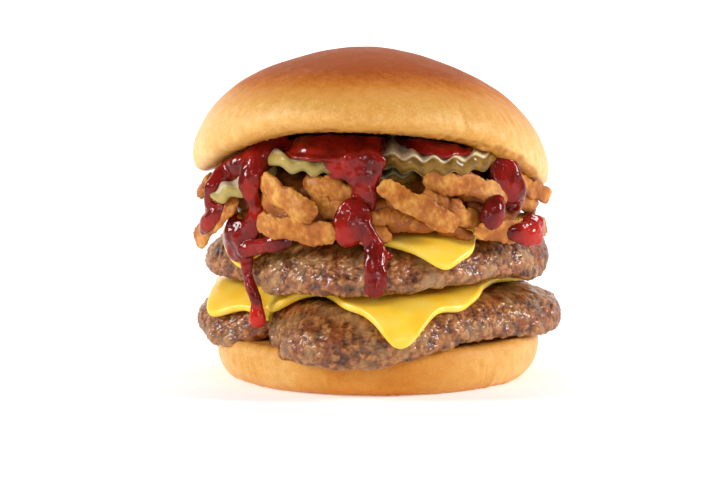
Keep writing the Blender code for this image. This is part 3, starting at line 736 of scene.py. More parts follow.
@dataclass(frozen=True)
class CheeseFinish:
    """Melted processed cheese: smooth, satin and a little translucent, in three close yellows."""

    name: str = "melted_cheese"
    stops: tuple = ((0.3, "#FFC630"), (0.5, "#FFD040"), (0.75, "#FFDA66"))
    ripple_size: float = 7 * MM

    def build(self) -> bpy.types.Material:
        """The material."""
        made = Surface(self.name)
        ripple = made.pattern(self.ripple_size, detail=2.0)
        return made.finished(
            {
                "Base Color": made.ramp(ripple, *self.stops),
                "Normal": made.bump(ripple, strength=0.2, distance=0.5 * MM),
                "Roughness": 0.3,
                "IOR": 1.45,
                "Subsurface Weight": 0.3,
                "Subsurface Radius": (1.0, 0.6, 0.12),
                "Subsurface Scale": 3 * MM,
            }
        )


@dataclass(frozen=True)
class BatterFinish:
    """Fried flour batter on onion: golden blisters, with painted shade in the dips, and a film of oil.

    The depth scales the colour down as painted shade: 1 where light reaches, and less inside the heap.
    """

    name: str = "fried_onion_batter"
    # The darkest stops are painted shade, reached in the dips and inside the heap.
    stops: tuple = (
        (0.0, "#5A260C"),
        (0.2, "#96501C"),
        (0.38, "#9A521A"),
        (0.56, "#B66E27"),
        (0.8, "#D89E4A"),
    )
    relief_range: tuple = (-1.6, 1.3)
    relief_share: float = 0.32
    least: float = 0.4
    blister_size: float = 1.1 * MM
    blister_share: float = 0.34
    patch_size: float = 6 * MM
    patch_share: float = 0.9
    depth: float = 1.0
    roughness: tuple = (0.3, 0.6)

    def build(self) -> bpy.types.Material:
        """The material."""
        made = Surface(self.name)
        blister = made.pattern(self.blister_size, detail=3.0)
        patch = made.pattern(self.patch_size, detail=2.0)
        # Painted shade: low relief darkens the batter in its dips.
        height = made.mapped(made.attribute(RELIEF), self.relief_range)
        shade = made.maths("MULTIPLY_ADD", height, self.relief_share, self.least)
        shade = made.varied(shade, blister, self.blister_share)
        shade = made.varied(shade, patch, self.patch_share)
        # The depth darkens the whole colour as painted shade for the heap's inside.
        return made.finished(
            {
                "Base Color": made.ramp(made.maths("MULTIPLY", shade, self.depth), *self.stops),
                "Roughness": made.mapped(blister, NOISE_RANGE, self.roughness),
                "Normal": made.bump(blister, strength=0.5, distance=0.3 * MM),
                "IOR": 1.46,
                "Specular IOR Level": 0.3,
                "Subsurface Weight": 0.1,
                "Subsurface Radius": (1.0, 0.45, 0.15),
                "Subsurface Scale": 1.5 * MM,
            }
        )


@dataclass(frozen=True)
class PickleFinish:
    """Brined cucumber: a wet olive skin round pale, slightly see-through flesh.

    The ripe attribute is the share of the pale skin and of the stained flesh.
    """

    name: str = "brined_cucumber"
    skin: tuple = ((0.35, "#664812"), (0.6, "#8E6820"))
    pale_skin: str = "#D6C878"
    flesh: tuple = ((0.3, "#E8E2B4"), (0.6, "#FAF6DC"))
    stained_flesh: str = "#8E7040"
    stripe_size: float = 2.4 * MM

    def build(self) -> bpy.types.Material:
        """The material."""
        made = Surface(self.name)
        stripes = made.pattern(self.stripe_size, detail=3.0)
        ripe = made.attribute("ripe")
        skin = made.mixed(ripe, made.ramp(stripes, *self.skin), linear(self.pale_skin))
        flesh = made.mixed(ripe, made.ramp(stripes, *self.flesh), linear(self.stained_flesh))
        return made.finished(
            {
                "Base Color": made.mixed(made.attribute("skin"), flesh, skin),
                "Normal": made.bump(stripes, strength=0.25, distance=0.3 * MM),
                "Roughness": 0.22,
                "IOR": 1.37,
                "Subsurface Weight": 0.35,
                "Subsurface Radius": (0.8, 0.8, 0.3),
                "Subsurface Scale": 2.5 * MM,
            }
        )


@dataclass(frozen=True)
class SauceFinish:
    """Thick barbecue sauce: dark red and glossy, with a painted glow of brighter red at listed places where
    light comes through it.
    """

    name: str = "barbecue_sauce_gloss"
    stops: tuple = ((0.35, "#5E0C07"), (0.65, "#8A140B"))
    bright: str = "#C8240E"
    patch_size: float = 6 * MM
    ripple_size: float = 2.4 * MM

    def build(self) -> bpy.types.Material:
        """The material."""
        made = Surface(self.name)
        dark = made.ramp(made.pattern(self.patch_size, detail=2.0), *self.stops)
        ripple = made.pattern(self.ripple_size, detail=1.0)
        return made.finished(
            {
                # Painted glow: the listed places where light comes through the sauce are painted a brighter
                # red.
                "Base Color": made.mixed(made.attribute("thin"), dark, linear(self.bright)),
                "Normal": made.bump(ripple, strength=0.5, distance=0.9 * MM),
                "Roughness": 0.15,
                "IOR": 1.45,
                "Specular IOR Level": 0.34,
                "Subsurface Weight": 0.3,
                "Subsurface Radius": (1.0, 0.06, 0.03),
                "Subsurface Scale": 2 * MM,
            }
        )


@dataclass(frozen=True)
class Bun:
    """The two halves of the bun. The crown is tipped back and arched over the fillings."""

    heel_radius: float = 46.2 * MM
    heel_height: float = 13.2 * MM
    heel_foot_radius: float = 40 * MM
    heel_side_height: float = 9.5 * MM
    heel_rim_rounding: float = 2.4 * MM
    press: float = 0.5 * MM
    press_azimuth: float = 218
    press_width: float = 45
    crown_radius: float = 51 * MM
    crown_x: float = -1.9 * MM
    crown_y: float = -0.5 * MM
    dome: float = 33.8 * MM
    roundness: float = 1.7
    lip_depth: float = 8 * MM
    lip_width: float = 7 * MM
    hollow: float = 2.8 * MM
    side_level: float = 52.9 * MM
    arch: float = 14.8 * MM
    tilt: float = 0.18
    roll: float = 0.044
    toast_rise: float = 1.9 * MM
    toast_fade: float = 1.8 * MM
    lobe_azimuth: float = 326
    lobe_width: float = 22
    lobe_rise: float = 5.2 * MM
    spoke_count: int = 512
    wrinkle_depth: float = 0.46 * MM

    OUT_OF_ROUND = ((2, 0.006, 1.0), (3, 0.005, 2.4))
    ARCH_POWER = 3
    ARCH_FADE = 1.5
    UNDER_RINGS = 46
    LIP_RINGS = 26
    SIDE_RINGS = 70
    TOP_RINGS = 14
    FOOT_RINGS = 24
    HEEL_SIDE_RINGS = 40
    RIM_RINGS = 16
    CUT_RINGS = 30
    CROWN_CRUMB = Relief(1.8 * MM, 0.35 * MM, 0.6 * MM, 0.15 * MM, 0.4)
    HEEL_CRUMB = Relief(1.8 * MM, 0.3 * MM, 0.6 * MM, 0.15 * MM, 0.9)
    HEEL_CRUMB_MASK = 0.4
    WRINKLE_RADIUS = 40
    WRINKLE_STRETCH = 0.16
    WRINKLES = ((1.5 * MM, 3.0, 1.0), (0.8 * MM, 9.0, 0.6))
    WRINKLED_SIZE = 16 * MM
    WRINKLED_GAIN = 1.6
    WRINKLED_LEVEL = 0.45
    DENTS = ((15 * MM, 2.0, 0.35), (5 * MM, 7.0, 0.10))
    CROWN_PALE = 0.14
    CROWN_FRONT = 0.2
    CROWN_SIDE = 0.6
    CROWN_TOP = 0.30
    CROWN_PATCH = 0.14
    HEEL_FRONT = 0.56
    HEEL_PALING = 0.36
    HEEL_PATCH = 0.12
    HEEL_FOOT = 0.42

    def azimuths(self) -> np.ndarray:
        """The azimuths of a ring's points, as a row."""
        return spokes(self.spoke_count)[None, :]

    def out_of_round(self, azimuth: np.ndarray) -> np.ndarray:
        """The slight unevenness of a baked roll's outline."""
        return 1 + waves(azimuth, self.OUT_OF_ROUND)

    def flat(self, x: np.ndarray, y: np.ndarray) -> np.ndarray:
        """Height of the tipped plane that the crown's lip would lie in without its arch."""
        return self.side_level - self.tilt * y - self.roll * x

    def level(self, x: np.ndarray, y: np.ndarray) -> np.ndarray:
        """Height of the crown's lower lip at a place."""
        across = np.abs(x - self.crown_x) / self.crown_radius
        return self.flat(x, y) + self.arch * np.maximum(0.0, 1 - across**self.ARCH_POWER)

    def crown_rings(self, radius: np.ndarray, rise: np.ndarray) -> np.ndarray:
        """The crown's points.

        Args:
            radius: the distance of each ring from the crown's axis.
            rise: the height of each ring above the lip.

        Returns:
            An array of rings of points.
        """
        azimuth = self.azimuths()
        reach = radius[:, None] * self.out_of_round(azimuth)
        x = self.crown_x + reach * np.cos(azimuth)
        y = self.crown_y + reach * np.sin(azimuth)
        flat = self.flat(x, y)
        share = 1 - rise[:, None] / (self.dome + self.lip_depth)
        lift = (self.level(x, y) - flat) * np.maximum(0, share) ** self.ARCH_FADE
        return np.stack([x, y, flat + rise[:, None] + lift], axis=-1)

    def wrinkles(self, rings: np.ndarray, strength: np.ndarray) -> np.ndarray:
        """Pinches the skin along fine creases that run up the side, and dents it softly.

        Args:
            rings: the skin's points.
            strength: how deep the creases are at each ring, from 0 to 1.

        Returns:
            The creased rings.
        """
        azimuth = spokes(self.spoke_count)
        round_the_side = np.stack([np.cos(azimuth), np.sin(azimuth)], axis=-1) * self.WRINKLE_RADIUS * MM
        round_the_side = np.broadcast_to(round_the_side, (*rings.shape[:2], 2))
        stretched = np.concatenate([round_the_side, rings[..., 2:] * self.WRINKLE_STRETCH], axis=-1)
        crease = layered(stretched, self.WRINKLES)
        patch = smooth(noise_at(rings, self.WRINKLED_SIZE, 5.0) * self.WRINKLED_GAIN + self.WRINKLED_LEVEL)
        dent = layered(rings, self.DENTS, MM)
        depth = crease * self.wrinkle_depth * patch * strength[:, None] + dent
        return rings + grid_normals(rings) * depth[..., None]

    def crown_bake(self, rings: np.ndarray, rise: np.ndarray) -> np.ndarray:
        """How brown the crown is: palest at the sides of its lip and browner on top, with painted shade
        darkening the front.

        Args:
            rings: the skin's points.
            rise: the height of each ring above the lip.

        Returns:
            The browning attribute, with its painted shade.
        """
        upward = grid_normals(rings)[..., 2]
        level = rise[:, None] / (self.dome + self.lip_depth)
        in_front = smooth(-np.sin(self.azimuths()) * 2 - 0.6)
        # Painted shade: the front of the crown's lip is darkened, as light falls on it less than on the
        # sides.
        bake = (
            self.CROWN_PALE
            + self.CROWN_FRONT * in_front * (1 - 0.7 * smooth(level / 0.7))
            + smooth((level - 0.16) / 0.8) * self.CROWN_SIDE
            + self.CROWN_TOP * smooth(upward) * smooth((level - 0.3) / 0.5)
        )
        return bake + noise_at(rings, 22 * MM, 1.0) * self.CROWN_PATCH * smooth(level / 0.4)

    def build_crown(self, recipe: Recipe, material: bpy.types.Material) -> None:
        """The top half of the bun, which replaces bun_crown.

        Args:
            recipe: the tree that roughens a skin.
            material: the bread's finish.
        """
        inner = self.crown_radius - self.lip_width
        under = np.linspace(0.06, 1.0, self.UNDER_RINGS) * inner
        under_rise = self.hollow * (1 - smooth((under / inner - 0.35) / 0.65))
        sweep = np.radians(np.linspace(4, 90, self.LIP_RINGS))
        lip = inner + self.lip_width * np.sin(sweep)
        lip_rise = self.lip_depth * (1 - np.cos(sweep))
        steep, gentle = np.linspace(2, 70, self.SIDE_RINGS), np.linspace(71.2, 88.6, self.TOP_RINGS)
        climb = np.radians(np.concatenate([steep, gentle]))
        side = self.crown_radius * np.cos(climb) ** (2 / self.roundness)
        side_rise = self.lip_depth + self.dome * np.sin(climb) ** (2 / self.roundness)
        radius = np.concatenate([under, lip, side])
        rise = np.concatenate([under_rise, lip_rise, side_rise])
        low_down = 1 - smooth((rise - self.lip_depth) / (0.5 * self.dome))
        low_down[: len(under)] = 0
        rings = self.wrinkles(self.crown_rings(radius, rise), low_down)
        hidden = np.zeros(len(radius))
        hidden[: len(under)] = 1
        lobe = self.lobe_rise * fade(turned(np.degrees(self.azimuths()), self.lobe_azimuth), self.lobe_width)
        edge = (self.toast_rise + lobe) * (1 + 0.35 * noise_at(rings, 5 * MM, 3.0))
        cut = np.maximum(hidden[:, None], smooth((edge - rise[:, None]) / self.toast_fade))
        marks = {"bake": self.crown_bake(rings, rise), "cut": cut, MASK: hidden[:, None]}
        piece = rough_piece("bun_crown_bread", rings, recipe, self.CROWN_CRUMB, material, **marks)
        dress(piece, Slot.CRUST, "bun_crown")

    def build_heel(self, recipe: Recipe, material: bpy.types.Material) -> None:
        """The bottom half of the bun, which replaces bun_heel.

        Args:
            recipe: the tree that roughens a skin.
            material: the bread's finish.
        """
        foot = np.linspace(0.08, 1.0, self.FOOT_RINGS) * self.heel_foot_radius
        sweep = np.radians(np.linspace(4, 90, self.HEEL_SIDE_RINGS))
        side = self.heel_foot_radius + (self.heel_radius - self.heel_foot_radius) * np.sin(sweep)
        side_rise = self.heel_side_height * (1 - np.cos(sweep))
        turn = np.radians(np.linspace(5, 90, self.RIM_RINGS))
        rim = self.heel_radius - self.heel_rim_rounding * (1 - np.cos(turn))
        rim_rise = self.heel_side_height + (self.heel_height - self.heel_side_height) * np.sin(turn)
        top = np.linspace(0.99, 0.06, self.CUT_RINGS) * rim[-1]
        top_rise = np.full(len(top), self.heel_height)
        radius = np.concatenate([foot, side, rim, top])
        rise = np.concatenate([np.zeros(len(foot)), side_rise, rim_rise, top_rise])
        azimuth = self.azimuths()
        reach = radius[:, None] * self.out_of_round(azimuth)
        pressed = fade(turned(np.degrees(azimuth), self.press_azimuth), self.press_width)
        near_rim = smooth(reach / self.heel_radius / 0.3 - 2.3)
        near_rim = near_rim * smooth(rise / self.heel_side_height - 0.4)[:, None]
        rings = polar(reach, azimuth, rise[:, None] - self.press * pressed * near_rim)
        on_side = np.zeros(len(radius))
        on_side[len(foot) : -len(top)] = 1
        rings = rings + (self.wrinkles(rings, on_side) - rings) * on_side[:, None, None]
        rings[..., 2] = np.maximum(rings[..., 2], 0.0)
        share = (rise / self.heel_height)[:, None]
        # Painted light and shade: the heel is paler on its left and right flanks, where the side lamps fall,
        # and darker at the front.
        bake = self.HEEL_FRONT - self.HEEL_PALING * np.abs(np.cos(azimuth)) ** 1.3
        bake = bake + 0.10 * smooth((share - 0.72) / 0.28) + self.HEEL_PATCH * noise_at(rings, 12 * MM, 4.0)
        bake[: len(foot)] = self.HEEL_FOOT
        bake = bake + 0.12 * (1 - smooth(share / 0.25))
        cut = np.zeros((len(radius), 1))
        cut[-len(top) :] = 1
        marks = {"bake": bake, "cut": cut, MASK: cut * self.HEEL_CRUMB_MASK}
        piece = rough_piece("bun_heel_bread", rings, recipe, self.HEEL_CRUMB, material, **marks)
        dress(piece, Slot.CRUST, "bun_heel")


@dataclass(frozen=True)
class Patty:
    """A hand-pressed square beef patty with round corners, a creased edge and a drooping rim."""

    node: str
    underside: float
    thickness: float
    rise_right: float
    rise_front: float
    corner_reach: float
    side_reach: float
    corner_azimuth: float
    crease_azimuth: float
    droop_azimuth: float
    droop_front: float
    droop_back: float
    seed: float
    hangs: tuple = ()
    hang_top: float = 0.4
    bulges: tuple = ()

    HANG_START = 34 * MM
    HANG_WIDTH = 11 * MM
    CREASE_DEPTH = 4 * MM
    CREASE_WIDTH = math.radians(8)
    CREASE_STEP = 4 * MM
    CREASE_STEP_LENGTH = math.radians(42)
    RIM_START = 41 * MM
    RIM_WIDTH = 10 * MM
    TOP_DROOP_SHARE = 0.25
    EDGE_SQUARENESS = 7.5
    EDGE_ROUNDNESS = 2.3
    UNDER_BULGE = 1.4 * MM
    LOBES = ((3, 0.7 * MM, 1), (7, 0.6 * MM, 2))
    LUMP_SIZE = 11 * MM
    LUMP_DEPTH = 1.3 * MM
    LUMP_RISE = 6 * MM
    SPOKES = 680
    FACE_RINGS = 22
    SIDE_RINGS = 56
    FACE_SHARE = 0.93
    EVEN_LUMP = 0.3
    SWELL_SIZE = 6 * MM
    SWELL_DEPTH = 0.7
    SWELL_SINK = 0.25 * MM

    def reach(self, azimuth: np.ndarray) -> np.ndarray:
        """Distance from the axis to the rim."""
        corner = 0.5 * (1 + np.cos(4 * (azimuth - self.corner_azimuth)))
        reach = self.side_reach + (self.corner_reach - self.side_reach) * corner
        reach = reach + waves(azimuth, ((turns, depth, k * self.seed) for turns, depth, k in self.LOBES))
        past = (azimuth - self.crease_azimuth + math.pi) % FULL_TURN - math.pi
        reach = reach - self.CREASE_DEPTH * fade(past, self.CREASE_WIDTH)
        step = self.CREASE_STEP * smooth(1 + past / self.CREASE_STEP_LENGTH)
        return swollen(reach, azimuth, self.bulges) - np.where(past < 0, step, 0)

    def droop(self, x: np.ndarray, y: np.ndarray) -> np.ndarray:
        """How far the rim sags below the flat underside there."""
        rim = smooth((np.hypot(x, y) - self.RIM_START) / self.RIM_WIDTH)
        toward_front = 0.5 * (1 + np.cos(np.arctan2(y, x) - self.droop_azimuth))
        return rim * (self.droop_back + (self.droop_front - self.droop_back) * toward_front**2)

    def top(self, x: Any, y: Any) -> Any:
        """Height of the upper face, before the edge is rounded."""
        flat = self.underside + self.thickness + self.rise_right * x - self.rise_front * y
        return flat - self.TOP_DROOP_SHARE * self.droop(x, y)

    def hang(self, x: np.ndarray, y: np.ndarray) -> np.ndarray:
        """How far the whole rim hangs down in the places listed as azimuth, width and depth."""
        depth = swollen(0, np.arctan2(y, x), self.hangs)
        return depth * smooth((np.hypot(x, y) - self.HANG_START) / self.HANG_WIDTH)

    def points(self, azimuth: np.ndarray, lean: np.ndarray, lumpy: bool = True) -> np.ndarray:
        """Points of the skin, with its lumps or without.

        Args:
            azimuth: the azimuths in radians.
            lean: from 90 degrees at the top to -90 underneath, in radians.
            lumpy: whether the side has its lumps.

        Returns:
            A point for each pair.
        """
        azimuth, lean = np.broadcast_arrays(azimuth, lean)
        out = np.maximum(0.0, np.cos(lean)) ** (2 / self.EDGE_SQUARENESS)
        up = np.copysign(np.abs(np.sin(lean)) ** (2 / self.EDGE_ROUNDNESS), lean)
        radius = out * self.reach(azimuth)
        x, y = radius * np.cos(azimuth), radius * np.sin(azimuth)
        where = np.stack([x, y, self.seed * MM + up * self.LUMP_RISE], axis=-1)
        lump = noise_at(where, self.LUMP_SIZE) if lumpy else self.EVEN_LUMP
        radius = radius + np.cos(lean) ** 2 * lump * self.LUMP_DEPTH - up * out * self.UNDER_BULGE
        top, bottom = self.top(x, y), self.underside - self.droop(x, y)
        share = self.hang_top + (1 - self.hang_top) * (1 - up) / 2
        height = (top + bottom) / 2 + up * (top - bottom) / 2 - share * self.hang(x, y)
        return polar(radius, azimuth, height)

    def leans(self) -> np.ndarray:
        """Leans that space the rings evenly along the faces and the side, from the underside up."""
        shares = self.FACE_SHARE * np.linspace(0.08, 1.0, self.FACE_RINGS) ** 0.7
        face = np.arccos(shares ** (self.EDGE_SQUARENESS / 2))
        side = np.linspace(-face[-1], face[-1], self.SIDE_RINGS + 2)[1:-1]
        return np.concatenate([-face, side, face[::-1]])

    def build(self, recipe: Recipe, material: bpy.types.Material) -> bpy.types.Object:
        """The patty with its crumbled side.

        Args:
            recipe: the tree that roughens a skin.
            material: the meat's finish.

        Returns:
            The piece, which replaces the patty's node.
        """
        rings = self.points(spokes(self.SPOKES)[None, :], self.leans()[:, None])
        swell = noise_at(rings, self.SWELL_SIZE, self.seed) * self.SWELL_DEPTH * MM - self.SWELL_SINK
        rings = rings + grid_normals(rings) * swell[..., None]
        crumble = Relief(2.4 * MM, 0.25 * MM, 0.85 * MM, 0.24 * MM, self.seed)
        marks = {MASK: np.ones((1, 1))}
        piece = rough_piece(self.node + "_meat", rings, recipe, crumble, material, **marks)
        dress(piece, Slot.BEEF, self.node)
        return piece


@dataclass(frozen=True)
class CheeseSlice:
    """A square slice that has melted over a patty, with its corners hanging down the side.

    Each stretch is where the cheese has run further: its azimuth and width in degrees, and how far
    it has run in millimetres.
    """

    node: str
    patty: Patty
    half_side: float
    corner_azimuth: float
    stretches: tuple
    thickness: float = 2.4 * MM
    lift: float = 0.6 * MM

    SQUARENESS = 12.0
    SPOKES = 480
    FACE_RINGS = 60
    EDGE_RINGS = 14
    BEAD = 0.08
    BEAD_WIDTH = 3.5 * MM
    SKIN_STEPS = 60
    LOWEST_LEAN = math.radians(-75)
    NORMAL_STEP = math.radians(1.5)

    def reach(self, azimuth: np.ndarray) -> np.ndarray:
        """Distance from the middle to the slice's edge, measured along the slice."""
        turn = azimuth - self.corner_azimuth + math.pi / 4
        across = np.abs(np.cos(turn)) ** self.SQUARENESS + np.abs(np.sin(turn)) ** self.SQUARENESS
        return swollen(self.half_side / across ** (1 / self.SQUARENESS), azimuth, self.stretches)

    def build(self, material: bpy.types.Material) -> bpy.types.Object:
        """The slice, which lies on the patty's skin with a thick round edge.

        Args:
            material: the cheese's finish.

        Returns:
            The piece, which replaces the slice's node.
        """
        azimuth = spokes(self.SPOKES)
        shares = np.linspace(0.02, 0.99, self.SKIN_STEPS)
        level = np.arccos(shares ** (self.patty.EDGE_SQUARENESS / 2))
        leans = np.concatenate([level, np.linspace(level[-1], self.LOWEST_LEAN, self.SKIN_STEPS + 1)[1:]])
        skin = self.patty.points(azimuth[:, None], leans[None, :], lumpy=False)
        out = self.skin_normals(azimuth, leans)
        steps = np.linalg.norm(np.diff(skin, axis=1), axis=2)
        start = np.linalg.norm(skin[:, :1, :2], axis=2)
        travelled = np.concatenate([start, start + np.cumsum(steps, axis=1)], axis=1)
        reach = self.reach(azimuth)[:, None]
        half = self.thickness / 2
        face = np.linspace(0.05, 1.0, self.FACE_RINGS)[None, :] * (reach - half)
        sweep = np.radians(np.linspace(90, -90, self.EDGE_RINGS + 2)[1:-1])[None, :]
        edge = reach - half + half * np.cos(sweep)
        bead = 1 + self.BEAD * fade(reach - face, self.BEAD_WIDTH)
        over = self.lift + self.thickness * bead
        middle = self.lift + half + np.sin(sweep) * half
        middle = middle + self.thickness * self.BEAD * (1 + np.sin(sweep)) / 2
        distance = np.concatenate([face, edge, face[:, ::-1]], axis=1)
        heights = [over, np.broadcast_to(middle, edge.shape), np.full(face.shape, self.lift)]
        height = np.concatenate(heights, axis=1)
        points = np.empty((*distance.shape, 3))
        for i in range(len(azimuth)):
            for axis in range(3):
                base = np.interp(distance[i], travelled[i], skin[i, :, axis])
                lean = np.interp(distance[i], travelled[i], out[i, :, axis])
                points[i, :, axis] = base + lean * height[i]
        piece = plain_piece(self.node + "_slice", points.transpose(1, 0, 2)[::-1], material)
        dress(piece, Slot.CHEESE, self.node)
        return piece

    def skin_normals(self, azimuth: np.ndarray, leans: np.ndarray) -> np.ndarray:
        """The patty's outward unit normals, one row for each azimuth."""
        step = self.NORMAL_STEP
        leans = np.minimum(leans, math.pi / 2 - step)[None, :]
        spoke = azimuth[:, None]
        sides = [self.patty.points(spoke + turn, leans, lumpy=False) for turn in (step, -step)]
        ends = [self.patty.points(spoke, leans + tip, lumpy=False) for tip in (step / 2, -step / 2)]
        return unit_cross(sides[0] - sides[1], ends[0] - ends[1])


@dataclass(frozen=True)
class PickleChip:
    """A round crinkle-cut pickle chip, with lengths in millimetres and angles in degrees."""

    node: str
    centre: tuple
    radius: float
    thickness: float
    ridge_azimuth: float
    lean_front: float
    lean_left: float
    ripe: float = 0.0

    RIDGE_PITCH = 5.7 * MM
    RIDGE_DEPTH = 0.72 * MM
    SPOKES = 300
    RIM_ROUNDING = 0.9
    FACE_RINGS = 40
    RIM_RINGS = 16
    WOBBLES = ((3, 0.012), (7, 0.008))
    UNEVEN_SIZE = 4 * MM
    UNEVEN_DEPTH = 0.18
    SKIN_EDGE = 50
    SKIN_FADE = 25

    def place(self) -> Matrix:
        """The matrix that sets the chip in the burger."""
        turn = Matrix.Rotation(math.radians(self.ridge_azimuth), 4, "Z")
        tip = Matrix.Rotation(math.radians(self.lean_front), 4, "X")
        tip @= Matrix.Rotation(math.radians(-self.lean_left), 4, "Y")
        return Matrix.Translation(Vector(self.centre) * MM) @ tip @ turn

    def build(self, material: bpy.types.Material) -> bpy.types.Object:
        """The chip, flesh inside its skin, with ridges on both faces.

        Args:
            material: the pickle's finish.

        Returns:
            The piece, which replaces the chip's node.
        """
        azimuth = spokes(self.SPOKES)[None, :]
        half = self.thickness * MM / 2
        rim = self.radius * MM - self.RIM_ROUNDING * half
        face = np.linspace(0.04, 1.0, self.FACE_RINGS) * rim
        sweep = np.radians(np.linspace(-90, 90, self.RIM_RINGS + 2)[1:-1])
        radius = np.concatenate([face, rim + self.RIM_ROUNDING * half * np.cos(sweep), face[::-1]])
        flat = np.full(self.FACE_RINGS, half)
        height = np.concatenate([-flat, half * np.sin(sweep), flat])
        (lobes, coarse), (dents, fine) = self.WOBBLES
        wobble = 1 + coarse * np.sin(lobes * azimuth + self.radius) + fine * np.sin(dents * azimuth)
        x = radius[:, None] * wobble * np.cos(azimuth)
        y = radius[:, None] * wobble * np.sin(azimuth)
        ridge = self.RIDGE_DEPTH * np.cos(FULL_TURN * x / self.RIDGE_PITCH)
        rings = np.stack([x, y, height[:, None] + ridge], axis=-1)
        rings[..., 2] += noise_at(rings, self.UNEVEN_SIZE, self.radius) * self.UNEVEN_DEPTH * MM
        turn = np.array(self.place())
        rings = rings @ turn[:3, :3].T + turn[:3, 3]
        side = 1 - smooth((np.abs(np.degrees(sweep)) - self.SKIN_EDGE) / self.SKIN_FADE)
        skin = np.concatenate([np.zeros(len(face)), side, np.zeros(len(face))])
        marks = {"skin": skin[:, None], "ripe": np.full((1, 1), self.ripe)}
        piece = plain_piece(self.node + "_chip", rings, material, **marks)
        dress(piece, Slot.PICKLE, self.node)
        return piece


@dataclass(frozen=True)
class Strip:
    """A battered onion strip on the side of the heap, from one azimuth and height to another.

    Azimuths are degrees and lengths millimetres. The stand is how far its middle stands out from
    the heap, the flare how far its second end swings out further, and the bow how far its middle
    is raised.
    """

    start: tuple
    end: tuple
    width: float = 6
    depth: float = 2.4
    stand: float = 0
    flare: float = 0
    bow: float = 0
    cup: float = 0.5


@dataclass(frozen=True)
class StripGroup:
    """A group of strips drawn by a seeded rule, where every pair is a range.

    The strips are spread over the azimuths in degrees, each at a spot within its share of them.
    They take the tiers' heights in turn, moved by the height range, and those of the first level
    tiers don't climb. Half turns are degrees and half climbs millimetres. The rest is as for a
    strip, and the first strip's stand is moved by its own amount.
    """

    seed: int
    count: int
    azimuths: tuple
    tiers: tuple
    spot: tuple
    height: tuple
    half_turn: tuple
    half_climb: tuple
    width: tuple
    stand: tuple
    flare: tuple
    depth: tuple = ()
    level_tiers: int = 0
    first_stand: float = 0.0

    def strips(self) -> list[Strip]:
        """The strips, in the order in which they are drawn."""
        draw = random.Random(self.seed)
        made = []
        first, last = self.azimuths
        for i in range(self.count):
            azimuth = first + (last - first) * (i + draw.uniform(*self.spot)) / self.count
            tier = i % len(self.tiers)
            height = self.tiers[tier] + draw.uniform(*self.height)
            half_turn = draw.uniform(*self.half_turn)
            half_climb = draw.uniform(*self.half_climb) * (tier >= self.level_tiers)
            made.append(
                Strip(
                    (azimuth - half_turn, height - half_climb),
                    (azimuth + half_turn, height + half_climb),
                    width=draw.uniform(*self.width),
                    depth=draw.uniform(*self.depth) if self.depth else Strip.depth,
                    stand=draw.uniform(*self.stand) + self.first_stand * (i == 0),
                    flare=draw.uniform(*self.flare),
                )
            )
        return made


